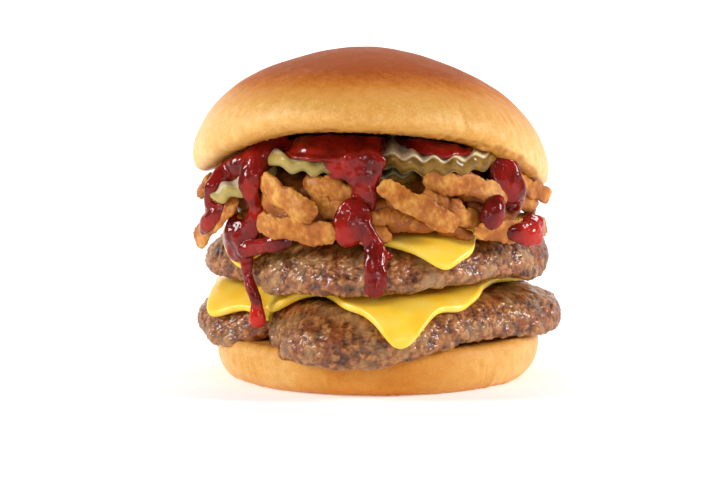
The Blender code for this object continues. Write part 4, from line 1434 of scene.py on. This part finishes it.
@dataclass(frozen=True)
class OnionHeap:
    """The heap of crisp onion strips between the upper cheese and the pickles."""

    bun: Bun
    reach_x: float = 46.5 * MM
    reach_y: float = 46 * MM
    floor: float = 45 * MM
    top: float = 63 * MM
    taper: float = 0.09
    headroom: float = 2.5 * MM

    CORE = ((0.86, 0), (0.90, 0.1), (0.93, 0.25), (0.93, 0.45), (0.91, 0.6), (0.86, 0.8), (0.76, 1.0))
    CORE_SINK = 0.94
    BACK = StripGroup(
        seed=11,
        count=13,
        azimuths=(-4, 186),
        tiers=(48.0, 53.0, 57.6),
        spot=(0.2, 0.8),
        height=(-0.8, 0.8),
        half_turn=(9, 14),
        half_climb=(-5, 5),
        width=(4.8, 6.8),
        stand=(-0.6, 1.4),
        flare=(-1.6, 1.6),
        level_tiers=1,
        first_stand=-2.4,
    )
    FILL = StripGroup(
        seed=12,
        count=46,
        azimuths=(0, 360),
        tiers=(0,),
        spot=(0.1, 0.9),
        height=(46.5, 58.5),
        half_turn=(8, 15),
        half_climb=(-4.5, 4.5),
        width=(3.4, 5.6),
        depth=(2.4, 3.4),
        stand=(-3.4, -1.6),
        flare=(-1.2, 1.2),
    )
    STEP = 0.62 * MM
    SIDES = 22
    STOPS = 28
    SWAY = 0.5
    UNEVEN_STAND = 0.4
    TIP_WIDTH = 0.3
    WOBBLE_SLOW = 0.07
    WOBBLE_FAST = 0.04
    CUP_SCALE = 4 * MM
    TIP_TURN = 0.7
    CORE_SPOKES = 300
    CORE_RINGS = 40
    CORE_FACE_RINGS = 12
    CORE_CLEAR = 1.5 * MM
    CORE_RELIEF = Relief(5 * MM, 0.9 * MM, 1.4 * MM, 0.4 * MM, 2.0)

    def facing(self, x0: float, z0: float, x1: float, z1: float, **form: float) -> Strip:
        """A strip on the heap's front, whose ends are given as seen from there."""
        ends = []
        for x, z in ((x0, z0), (x1, z1)):
            across = max(-WIDEST, min(WIDEST, x * MM / self.reach_x))
            ends.append((360 - math.degrees(math.acos(across)), z))
        return Strip(*ends, **form)

    def front_strips(self) -> list[Strip]:
        """The strips that show in front, from left to right in tiers."""
        return [
            self.facing(-33, 60.8, -16.4, 52.2, width=7.2, depth=3.0, stand=3.0, cup=-0.5),
            self.facing(-23, 60.8, -6, 57, width=6.6, stand=-0.6),
            self.facing(-32.6, 49.4, -11, 47.4, width=6.8, stand=1.8, bow=-0.8, cup=-0.7),
            self.facing(-46, 39.2, -38, 54, width=7.4, depth=2.2, stand=4.6, flare=-1.6, cup=-0.3),
            self.facing(-45.8, 53.2, -44.4, 61.4, width=6, depth=2.4, stand=4, flare=-3),
            self.facing(-34.5, 55.4, -24, 50.6, width=5.4, stand=-1.2, cup=-0.6),
            self.facing(-20.5, 55.6, -5.5, 51.4, width=6, stand=-1.6, cup=-0.6),
            self.facing(0.5, 61, 21.5, 48.8, width=6.6, depth=2.6, stand=2.8, cup=-0.5),
            self.facing(13.4, 62.2, 36.4, 55.6, width=6.6, depth=2.6, stand=2.2, bow=0.8, cup=-0.8),
            self.facing(13.6, 58.6, 24, 53.2, width=5, stand=0.4, bow=-0.6),
            self.facing(15.6, 58, 22, 53, width=4.4, stand=-1.4),
            self.facing(19, 53.4, 30.5, 48.6, width=5.6, stand=0.2),
            self.facing(40, 59.4, 45.8, 52.4, width=5.4, depth=2.4, stand=2.2, flare=1.6, cup=-0.5),
            self.facing(26, 47.2, 45.4, 44.6, width=6.4, depth=2.4, stand=3, cup=-0.6),
            self.facing(-4, 51.6, 9, 51, width=4.8, stand=-0.8),
            self.facing(3, 56.6, 14, 50.6, width=5, stand=-2),
            self.facing(38.4, 52.4, 45.6, 51.2, width=4.4, stand=0.4),
            self.facing(-10, 46.8, 4, 46.6, width=5, stand=0.4),
            self.facing(3, 51.4, 12, 49.8, width=4.4, stand=-0.8),
            self.facing(-45, 52.4, -37.6, 46.8, width=5, stand=0.6),
            self.facing(-44.4, 60, -36, 54.4, width=5, stand=-0.8),
        ]

    def reach(self, azimuth: Any, height: Any) -> Any:
        """Distance from the axis to the middle of the strips that lie at that height."""
        oval = np.hypot(np.cos(azimuth) / self.reach_x, np.sin(azimuth) / self.reach_y)
        return (1 - self.taper * ((height - self.floor) / (self.top - self.floor)) ** 2) / oval

    def path(self, strip: Strip, number: int) -> tuple[np.ndarray, np.ndarray]:
        """Where a strip runs.

        Args:
            strip: the strip.
            number: its place in the list, which seeds its small bends.

        Returns:
            The points of its middle line, and a scale of its section at each.
        """
        (first, low), (last, high) = strip.start, strip.end
        along = np.linspace(0, 1, self.STOPS)
        share = 2 * along - 1
        middle = np.radians(first + (last - first) * along)
        sway = self.SWAY * np.sin(2.3 * share * math.pi + number) * (1 - share**2)
        height = (low + (high - low) * along + strip.bow * (1 - share**2) + sway) * MM
        stand = strip.stand + strip.flare * share + self.UNEVEN_STAND * np.sin(3.1 * share + 2 * number)
        reach = self.reach(middle, height) + stand * MM
        blunt = self.TIP_WIDTH + (1 - self.TIP_WIDTH) * np.sqrt(np.maximum(0.0, 1 - np.abs(share) ** 6))
        slow, fast = np.sin(3.1 * share + first), np.sin(13 * share + number)
        wobble = 1 + self.WOBBLE_SLOW * slow + self.WOBBLE_FAST * fast
        return polar(reach, middle, height), blunt * wobble

    def build_strips(
        self, name: str, strips: Sequence[Strip], recipe: Recipe, material: bpy.types.Material
    ) -> bpy.types.Object:
        """Sweeps a group of strips and joins them into one piece.

        Args:
            name: the piece's name.
            strips: the strips.
            recipe: the tree that sweeps a strip.
            material: the batter's finish.

        Returns:
            The piece, one of those that replace onion_heap.
        """
        made = []
        for number, strip in enumerate(strips):
            points, radii = self.path(strip, number)
            batter = Relief(1.5 * MM, 0.07 * MM, 0.7 * MM, 0.17 * MM, 1 + 0.01 * number)
            made.append(
                recipe.cook(
                    path_object(f"strip_{number}", points, radii),
                    Width=strip.width * MM,
                    Depth=strip.depth * MM,
                    Cup=strip.cup * self.CUP_SCALE,
                    Tip=self.TIP_TURN * math.sin(2.4 * number + 1),
                    Step=self.STEP,
                    Sides=self.SIDES,
                    **batter.inputs(),
                    Material=material,
                )
            )
        piece = joined(name, made)
        dress(piece, Slot.BATTER, "onion_heap")
        return piece

    def build_core(self, recipe: Recipe, material: bpy.types.Material) -> bpy.types.Object:
        """The inside of the heap, which shows only in the gaps, darkened with painted shade.

        Args:
            recipe: the tree that roughens a skin.
            material: the batter's finish, darkened as painted shade.

        Returns:
            The piece, one of those that replace onion_heap.
        """
        azimuth = spokes(self.CORE_SPOKES)
        shares, levels = np.array(self.CORE).T
        fine = np.linspace(0, 1, self.CORE_RINGS)
        share = np.interp(fine, levels, shares * self.CORE_SINK)[:, None]
        radius = share * self.reach(azimuth, self.floor)[None, :]
        inner = np.linspace(0.08, 0.96, self.CORE_FACE_RINGS)[:, None]
        radius = np.concatenate([inner * radius[:1], radius, inner[::-1] * radius[-1:]])
        level = np.concatenate([np.zeros(len(inner)), fine, np.ones(len(inner))])[:, None]
        x, y = radius * np.cos(azimuth), radius * np.sin(azimuth)
        ceiling = np.minimum(self.top, self.bun.level(x, y) - self.headroom) - self.CORE_CLEAR
        rings = np.stack([x, y, self.floor + level * (ceiling - self.floor)], axis=-1)
        marks = {MASK: np.ones((1, 1))}
        piece = rough_piece("onion_core", rings, recipe, self.CORE_RELIEF, material, **marks)
        dress(piece, Slot.BATTER, "onion_heap")
        return piece


@dataclass(frozen=True)
class Run:
    """A run of thick sauce. Each stop is x, z and the run's width there, in millimetres.

    The root is the x and y where it leaves the layer under the crown. A run without a root starts
    inside another run. The film says how thick it is against a common run.
    """

    stops: tuple
    root: tuple = ()
    film: float = 1.0


@dataclass(frozen=True)
class BarbecueSauce:
    """The barbecue sauce: a layer between the pickles and the crown, with its runs down the front.

    The layer's edge is a table of azimuths in degrees and reaches in millimetres, and the glowing
    places are x, z and radius in millimetres of where light through it is painted in as a brighter red, and
    how much.
    """

    bun: Bun
    thickness: float = 1.9 * MM
    sag: float = 1.4 * MM
    lowest: float = 67.3 * MM
    under_crown: float = 4 * MM
    sink: float = 0.5 * MM
    flatness: float = 0.55
    deepest: float = 2.1 * MM
    voxel: float = 0.41 * MM

    EDGE = (
        (0, 38.5), (60, 38), (120, 37.6), (180, 39), (194, 42), (204, 45), (213, 45), (219, 41),
        (224, 37), (228, 38), (234, 43.5), (240, 47), (248, 47), (254, 45.4), (261, 43.4),
        (269, 42.4), (272, 40), (275, 25), (278, 19), (282, 20), (285, 28), (287, 38), (290, 45),
        (295, 47.4), (300, 47), (305, 45), (311, 42), (320, 40), (330, 38.4), (345, 38),
        (360, 38.5),
    )
    RIPPLES = ((9, 0.4, 0.6), (14, 0.3, 2.0))
    SWELL = 0.55
    SWELL_SIZE = 4.5 * MM
    SWELL_DEPTH = 0.6 * MM
    CLEAR = 0.2 * MM
    # Places where a glow of light through the sauce is painted in: x, z, radius and how much.
    BRIGHT = (
        (-35.8, 57.8, 3.6, 0.4), (-34.1, 51.2, 3.4, 0.5), (-1.4, 73.6, 2.6, 0.5),
        (-9.6, 48.0, 4.6, 0.5), (45.2, 45.0, 6.0, 0.6), (-34.0, 20.5, 4.4, 0.9),
        (-11.0, 65.0, 4.0, 0.35), (-3.6, 59.0, 3.4, 0.3), (37.6, 57.6, 4.0, 0.3),
        (-47.6, 47.0, 4.0, 0.3),
    )
    STEP = 1.0 * MM
    SINK_UNDER = 0.3 * MM
    SPOKES = 240
    INNER_RINGS = 26
    RIM_SHARES = (0.965, 0.98, 0.99, 1.0)
    RIM_THICKNESS = (0.95, 0.85, 0.65, 0.35)
    ROOT_STEPS = 6
    BLUR = (1, 2, 3, 2, 1)
    FLOW_FACTOR = 0.5
    FLOW_STEPS = 9
    EDGE_SHIFTS = (-1.5, 0, 1.5)
    PROBES = (-1.2, 0, 1.2)
    GLOW_UNEVEN = 0.35
    GLOW_UNEVEN_SIZE = 2.5 * MM
    GLOW_CORE = 0.3
    GLOW_FADE = 0.8
    DEEPEST_INSET = 1.5 * MM
    DEEPEST_X = 46.5 * MM
    DEEPEST_Y = 46 * MM
    FRONT_START = -0.2
    TOP_START = 0.2

    RUNS = (
        Run(
            (
                (-34.6, 65.0, 8.4), (-35.4, 62.6, 8.2), (-36.1, 60.0, 7.2), (-36.1, 57.2, 5.4),
                (-35.0, 54.5, 4.8), (-34.0, 51.8, 4.8), (-34.4, 48.8, 5.4), (-36.1, 45.6, 7.2),
                (-38.7, 42.8, 8.0), (-40.0, 39.9, 7.4), (-40.2, 38.2, 5.4),
            ),
            root=(-29, -25),
        ),
        Run(((-40.6, 48.2, 3.4), (-41.2, 46.1, 5.2), (-41.0, 43.8, 6.6), (-40.6, 41.4, 7.2))),
        Run(
            (
                (-37.9, 40.1, 4.8), (-34.4, 41.0, 4.6), (-30.9, 42.4, 4.6), (-27.5, 43.3, 5.2),
                (-25.6, 43.4, 4.4),
            )
        ),
        Run(
            (
                (-38.4, 39.5, 6.0), (-37.2, 37.6, 4.6), (-37.0, 35.1, 4.0), (-36.6, 32.2, 3.5),
                (-36.1, 29.7, 3.3), (-35.0, 27.3, 3.4), (-34.2, 24.8, 3.7), (-34.0, 22.0, 5.0),
                (-34.0, 20.1, 5.4),
            )
        ),
        Run(
            (
                (-36.2, 64.8, 7.4), (-39.4, 63.2, 7.4), (-42.6, 61.6, 6.4), (-45.4, 59.9, 4.4),
                (-47.4, 57.3, 3.8), (-48.2, 55.0, 3.4), (-48.0, 52.4, 3.6), (-47.2, 50.4, 4.4),
            ),
            root=(-29, -25),
        ),
        Run(
            (
                (-44.6, 51.5, 4.6), (-46.3, 49.4, 5.4), (-48.0, 47.4, 5.0), (-49.3, 45.6, 4.2),
                (-49.9, 44.4, 3.2),
            )
        ),
        Run(
            (
                (-2.6, 66.4, 9.0), (-2.8, 65.2, 8.8), (-3.2, 63.6, 7.8), (-3.3, 61.6, 7.4),
                (-3.5, 59.2, 7.2), (-3.9, 56.8, 7.0), (-4.3, 54.5, 7.2), (-5.2, 52.8, 7.6),
            ),
        ),
        Run(((-7.6, 67.4, 5.0), (-2.6, 67.2, 6.0), (0.6, 67.2, 4.6))),
        Run(
            (
                (-6.6, 52.0, 10.4), (-7.2, 50.4, 10.8), (-7.8, 48.6, 9.2), (-8.4, 46.8, 6.6),
                (-8.8, 45.4, 4.2),
            )
        ),
        Run(
            (
                (-4.3, 49.8, 5.0), (-2.9, 47.5, 4.6), (-1.7, 45.2, 4.8), (-0.7, 42.9, 6.0),
                (-0.3, 40.6, 6.6), (-0.4, 37.7, 6.5), (-0.7, 34.8, 6.7), (-0.9, 32.9, 6.4),
            )
        ),
        Run(((0.4, 41.4, 4.0), (2.0, 40.9, 3.4), (3.2, 40.7, 2.6))),
        Run(((-13.3, 66.3, 4.0), (-11.3, 65.2, 4.9), (-9.0, 64.3, 4.9), (-6.6, 63.7, 4.0)), film=0.5),
        Run(((-13.0, 63.0, 1.6), (-9.0, 62.5, 1.7), (-6.5, 60.2, 1.7))),
        Run(
            (
                (34.6, 66.2, 5.4), (35.2, 63.8, 8.0), (36.0, 61.4, 10.0), (37.0, 59.0, 10.6),
                (37.9, 57.1, 9.8), (38.4, 55.0, 8.4), (38.7, 53.0, 6.0), (38.9, 51.9, 4.0),
            ),
            root=(33, -24),
        ),
        Run(((34.4, 55.0, 3.6), (33.4, 53.8, 6.0), (32.7, 52.2, 7.6), (32.3, 50.4, 7.6), (32.2, 49.4, 5.4))),
        Run(
            (
                (37.6, 45.8, 3.6), (39.8, 45.4, 5.4), (41.8, 45.2, 7.4), (43.6, 44.6, 8.0),
                (45.0, 43.4, 5.4),
            ),
            film=0.42,
        ),
        Run(((41.4, 48.8, 2.6), (43.8, 48.4, 4.6), (45.8, 46.8, 5.0), (46.4, 44.6, 3.6)), film=0.5),
        Run(((-38.8, 46.4, 5.4), (-38.6, 44.0, 7.0))),
    )

    def reach(self, azimuth: np.ndarray) -> np.ndarray:
        """How far the layer spreads under the crown."""
        degrees = np.degrees(azimuth)
        table = np.array(self.EDGE)
        spread = [np.interp((degrees + shift) % 360, table[:, 0], table[:, 1]) for shift in self.EDGE_SHIFTS]
        reach = sum(spread) / len(spread)
        return (reach + waves(azimuth, self.RIPPLES)) * MM

    def top_of(self, trees: Sequence[BVHTree], x: float, y: float) -> float:
        """Height at which a line from above first meets one of the pieces, near that place."""
        down = Vector((0, 0, -1))
        hits = [tree.ray_cast(Vector((x, y, self.TOP_START)), down)[0] for tree in trees]
        level = float(self.bun.level(x, y))
        base = min(level - self.under_crown, self.lowest)
        found = max([base] + [hit.z for hit in hits if hit is not None])
        return min(found, level - self.sag)

    def front_of(self, trees: Sequence[BVHTree], x: float, z: float) -> float:
        """The y at which a line from the front first meets one of the pieces, near that x and z."""
        starts = [Vector((x, self.FRONT_START, z + step * MM)) for step in self.PROBES]
        hits = [tree.ray_cast(start, Vector((0, 1, 0)))[0] for tree in trees for start in starts]
        across = min(WIDEST, abs(x) / self.DEEPEST_X)
        deepest = self.DEEPEST_INSET - self.DEEPEST_Y * math.sqrt(1 - across**2)
        return min([deepest] + [hit.y for hit in hits if hit is not None])

    def layer(self, trees: Sequence[BVHTree]) -> bpy.types.Object:
        """The layer under the crown, which follows what it lies on.

        Args:
            trees: the pieces that it lies on.

        Returns:
            The layer as an object, thicker toward its middle and round at its edge.
        """
        azimuth = spokes(self.SPOKES)
        shares = np.concatenate([np.linspace(0.1, 0.95, self.INNER_RINGS), self.RIM_SHARES])
        thick = np.concatenate([np.ones(self.INNER_RINGS), self.RIM_THICKNESS])
        reach = shares[:, None] * self.reach(azimuth)[None, :]
        x, y = reach * np.cos(azimuth), reach * np.sin(azimuth)
        found = [self.top_of(trees, px, py) for px, py in zip(x.ravel(), y.ravel())]
        under = np.array(found).reshape(x.shape)
        for _ in range(2):
            under = (np.roll(under, 1, axis=1) + 2 * under + np.roll(under, -1, axis=1)) / 4
        inward = self.reach(azimuth)[None, :] - reach
        room = np.maximum(self.bun.level(x, y) - self.CLEAR - under, self.thickness)
        deep = np.minimum(self.thickness + self.SWELL * inward, room)
        under = under - self.SINK_UNDER
        middle = under + self.thickness / 2
        low = np.stack([x, y, middle - thick[:, None] * self.thickness / 2], axis=-1)
        rise = np.where(thick[:, None] < 1, self.thickness / 2 * thick[:, None], deep - self.thickness / 2)
        high = np.stack([x, y, middle + rise], axis=-1)[::-1]
        return shown("sauce_layer", ring_mesh("sauce_layer", np.concatenate([low, high])))

    def run(
        self, run: Run, trees: Sequence[BVHTree], recipe: Recipe, material: bpy.types.Material
    ) -> bpy.types.Object:
        """One run of sauce, which lies on what is behind it.

        Args:
            run: the run's stops.
            trees: the pieces behind it.
            recipe: the tree that lays a run.
            material: the sauce's finish.

        Returns:
            The run's drops as an object.
        """
        stops = np.array(run.stops) * MM
        legs = np.linalg.norm(np.diff(stops[:, :2], axis=0), axis=1)
        travelled = np.concatenate([[0], np.cumsum(legs)])
        at = np.linspace(0, travelled[-1], max(6, round(travelled[-1] / self.STEP)))
        xs, zs, widths = (np.interp(at, travelled, stops[:, i]) for i in range(3))
        found = np.array([self.front_of(trees, x, z) for x, z in zip(xs, zs)])
        window = range(len(self.BLUR))
        padded = np.pad(found, len(window) // 2, mode="edge")
        nearest = np.minimum.reduce([padded[i : i + len(found)] for i in window])
        padded = np.pad(nearest, len(window) // 2, mode="edge")
        ys = sum(padded[i : i + len(found)] * self.BLUR[i] for i in window) / sum(self.BLUR)
        points = [Vector(p) for p in zip(xs, ys + self.sink, zs)]
        radii = list(widths / 2)
        if run.root:
            x, y = run.root[0] * MM, run.root[1] * MM
            start = Vector((x, y, self.top_of(trees, x, y) + self.thickness / 2))
            steps = self.ROOT_STEPS
            points = [start.lerp(points[0], t / steps) for t in range(steps)] + points
            radii = radii[:1] * steps + radii
        return recipe.cook(
            path_object("sauce_run", points, radii),
            Step=self.STEP,
            Flatness=self.flatness,
            Deepest=self.deepest,
            Film=run.film,
            Material=material,
        )

    def ruffle(self, mesh: bpy.types.Mesh) -> None:
        """Gives the sauce the slow swells of a thick liquid."""
        points = points_of(mesh)
        normals = np.empty(points.size)
        mesh.vertex_normals.foreach_get("vector", normals)
        swell = noise_at(points, self.SWELL_SIZE, 6.0) * self.SWELL_DEPTH
        moved = points + normals.reshape(-1, 3) * swell[:, None]
        mesh.vertices.foreach_set("co", moved.ravel())

    def brighten(self, mesh: bpy.types.Mesh) -> None:
        """Marks the listed places where a glow of light through the sauce is painted in, as an attribute
        from 0 to 1.
        """
        points = points_of(mesh)
        glow = np.zeros(len(points))
        uneven = self.GLOW_UNEVEN * noise_at(points, self.GLOW_UNEVEN_SIZE, 8.0)
        for x, z, radius, share in self.BRIGHT:
            away = np.hypot(points[:, 0] - x * MM, points[:, 2] - z * MM) / (radius * MM) + uneven
            glow = np.maximum(glow, share * (1 - smooth((away - self.GLOW_CORE) / self.GLOW_FADE)))
        glow[points[:, 1] > FRONT_ONLY_Y] = 0
        mark(mesh, "thin", glow)

    def build(
        self, behind: Sequence[bpy.types.Object], recipe: Recipe, material: bpy.types.Material
    ) -> bpy.types.Object:
        """The layer and its runs, melted into one body.

        Args:
            behind: the pieces that the sauce lies on.
            recipe: the tree that lays a run.
            material: the sauce's finish.

        Returns:
            The piece, which replaces sauce.
        """
        trees = [tree_of(piece) for piece in behind]
        runs = [self.run(run, trees, recipe, material) for run in self.RUNS]
        body = joined("barbecue_sauce_body", [self.layer(trees), *runs])
        melt = body.modifiers.new("melt", "REMESH")
        melt.mode = "VOXEL"
        melt.voxel_size = self.voxel
        melt.use_smooth_shade = True
        flow = body.modifiers.new("flow", "SMOOTH")
        flow.factor = self.FLOW_FACTOR
        flow.iterations = self.FLOW_STEPS
        piece = settled(body)
        piece.data.materials.clear()
        piece.data.materials.append(material)
        self.ruffle(piece.data)
        self.brighten(piece.data)
        dress(piece, Slot.SAUCE, "sauce")
        return piece


@dataclass(frozen=True)
class Studio:
    """A pale sweep, soft lights and a camera at the photograph's angle."""

    aim: tuple = (-4.9 * MM, 0.0, 38.6 * MM)
    distance: float = 1.6
    elevation: float = math.radians(8.5)
    focal_length: float = 276.8
    sensor: float = 36.0
    floor_colour: str = "#F4F2F1"
    target: tuple = (0.0, 0.0, 0.045)
    world_strength: float = 0.16
    sweep_radius: float = 0.5
    sweep_depth: float = 1.7
    sweep_width: float = 3.2
    sweep_front: float = -2.5
    sweep_top: float = 2.2
    sweep_steps: int = 12
    glow_from: tuple = (0.4, 1.6)
    glow_strength: tuple = (0.3, 1.0)

    LIGHTS = (
        ("left", (-0.85, -0.2, 0.42), 0.2, 0.32, 6.0),
        ("right", (0.85, -0.15, 0.4), 0.2, 0.32, 6.6),
        ("back", (0.0, 0.5, 1.15), 0.8, 0.5, 2.6),
        ("front", (-0.4, -1.1, 0.4), 0.18, 0.18, 1.3),
        ("front_left", (-0.62, -0.8, 0.6), 0.07, 0.12, 0.8),
        ("front_right", (0.6, -0.85, 0.55), 0.07, 0.12, 0.8),
        ("low", (0.25, -1.2, 0.08), 0.2, 0.16, 1.0),
    )

    def build(self) -> None:
        """Builds the sweep, the lights, the world and the camera."""
        scene = bpy.context.scene
        scene.view_settings.view_transform = "Standard"
        self.sweep()
        for name, place, width, height, power in self.LIGHTS:
            lamp = bpy.data.lights.new(name, "AREA")
            lamp.shape = "RECTANGLE"
            lamp.size = width
            lamp.size_y = height
            lamp.energy = power
            obj = bpy.data.objects.new(name, lamp)
            obj.location = place
            obj.rotation_euler = (Vector(self.target) - Vector(place)).to_track_quat("-Z", "Y").to_euler()
            scene.collection.objects.link(obj)
        world = bpy.data.worlds.new("studio")
        world.use_nodes = True
        sky = {"Color": (1, 1, 1, 1), "Strength": self.world_strength}
        Nodes(world.node_tree).fill(world.node_tree.nodes["Background"], sky)
        scene.world = world
        data = bpy.data.cameras.new("camera")
        data.lens = self.focal_length
        data.sensor_width = self.sensor
        camera = bpy.data.objects.new("camera", data)
        back = Vector((0, -math.cos(self.elevation), math.sin(self.elevation)))
        camera.location = Vector(self.aim) + back * self.distance
        camera.rotation_euler = (-back).to_track_quat("-Z", "Y").to_euler()
        scene.collection.objects.link(camera)
        scene.camera = camera

    def sweep(self) -> None:
        """The floor, which curves up into the backdrop."""
        paper = Surface("matt_paper")
        away = paper.add("ShaderNodeSeparateXYZ", {0: paper.place}).outputs["Y"]
        material = paper.finished(
            {
                "Base Color": linear(self.floor_colour),
                "Roughness": 0.9,
                "Emission Color": (1, 1, 1, 1),
                "Emission Strength": paper.mapped(away, self.glow_from, self.glow_strength),
            }
        )
        radius, depth = self.sweep_radius, self.sweep_depth
        profile = [(self.sweep_front, 0.0), (depth, 0.0)]
        for i in range(1, self.sweep_steps + 1):
            turn = math.radians(90 * i / self.sweep_steps)
            profile.append((depth + radius * math.sin(turn), radius * (1 - math.cos(turn))))
        profile.append((depth + radius, self.sweep_top))
        points = [(side * self.sweep_width, y, z) for y, z in profile for side in (-1, 1)]
        faces = [(2 * i, 2 * i + 1, 2 * i + 3, 2 * i + 2) for i in range(len(profile) - 1)]
        mesh = bpy.data.meshes.new("studio_sweep")
        mesh.from_pydata(points, [], faces)
        mesh.shade_smooth()
        mesh.materials.append(material)
        shown("studio_sweep", mesh)


def main() -> None:
    """Loads the frame, builds every piece from the heel up, then the studio."""
    logging.basicConfig(level=logging.INFO, format="%(name)s: %(message)s")
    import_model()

    relief = relief_recipe()
    skin = skin_recipe(relief)
    strip = strip_recipe(relief)
    bread = BreadFinish().build()
    meat = MeatFinish().build()
    cheese = CheeseFinish().build()
    batter = BatterFinish().build()
    # A darker copy of the batter: painted shade for the heap's inside and its inner strips.
    shaded_batter = BatterFinish(name="fried_onion_batter_painted_shade", depth=0.55).build()
    pickle = PickleFinish().build()
    sauce = SauceFinish().build()

    bun = Bun()
    bun.build_heel(skin, bread)
    lower = Patty(
        "patty_lower",
        underside=bun.heel_height,
        thickness=13.2 * MM,
        rise_right=0.012,
        rise_front=0.01,
        corner_reach=53 * MM,
        side_reach=46 * MM,
        corner_azimuth=math.radians(268),
        crease_azimuth=math.radians(222),
        droop_azimuth=math.radians(266),
        droop_front=6.6 * MM,
        droop_back=2 * MM,
        seed=1.0,
        hangs=((240, 12, 0.4), (258, 12, 1.2), (206, 16, 4.8), (228, 10, 6.4), (318, 20, 1.0)),
        hang_top=0.55,
        bulges=((244, 12, 1.8), (206, 14, 1.6), (358, 14, -0.7)),
    )
    upper = Patty(
        "patty_upper",
        underside=float(lower.top(0.0, 0.0)) + 3.3 * MM,
        thickness=13.6 * MM,
        rise_right=0.015,
        rise_front=0.005,
        corner_reach=50 * MM,
        side_reach=45 * MM,
        corner_azimuth=math.radians(271),
        crease_azimuth=math.radians(213),
        droop_azimuth=math.radians(244),
        droop_front=5.2 * MM,
        droop_back=1.6 * MM,
        seed=4.0,
        hangs=((222, 23, 7.4), (345, 12, 2.8)),
        hang_top=0.3,
    )
    lower_slice = CheeseSlice(
        "cheese_lower",
        lower,
        half_side=42 * MM,
        corner_azimuth=math.radians(275.4),
        stretches=(
            (276, 7, 1.7), (266, 6, -2.6), (291, 6, -1.4), (301, 6, 1.0), (325, 11, -3.2), (184, 11, -9),
            (197, 7, 3.0), (208, 6, -0.6), (97, 12, -1.6), (243, 14, -7.5), (10, 22, -10), (344, 16, -7.5),
        ),
    )
    upper_slice = CheeseSlice(
        "cheese_upper",
        upper,
        half_side=39.5 * MM,
        corner_azimuth=math.radians(295.4),
        stretches=(
            (298, 6, -3.2), (284, 7, -0.6), (312, 7, -3.6), (205, 12, -5), (236, 18, -8), (262, 12, -0.6),
        ),
    )
    behind = [lower.build(skin, meat), upper.build(skin, meat)]
    behind += [lower_slice.build(cheese), upper_slice.build(cheese)]
    for chip in (
        PickleChip("pickle_right", (15.9, -25.6, 67.3), 18.8, 4.6, 0, 5, -1),
        PickleChip("pickle_left", (-17.6, -26.5, 65.6), 14.4, 4.2, 12, 2, -5, ripe=0.4),
        PickleChip("pickle_far_left", (-38.5, -21, 59.5), 11, 4, 12, 10, 26, ripe=0.45),
        PickleChip("pickle_under", (-1.2, -24.5, 61.2), 15, 3, 0, 0, -1),
    ):
        behind.append(chip.build(pickle))
    onions = OnionHeap(bun)
    onions.build_core(skin, shaded_batter)
    behind.append(onions.build_strips("onion_strips_front", onions.front_strips(), strip, batter))
    onions.build_strips("onion_strips_back", onions.BACK.strips(), strip, batter)
    behind.append(onions.build_strips("onion_strips_inner", onions.FILL.strips(), strip, shaded_batter))
    BarbecueSauce(bun).build(behind, run_recipe(), sauce)
    bun.build_crown(skin, bread)
    Studio().build()


if __name__ == "__main__":
    main()
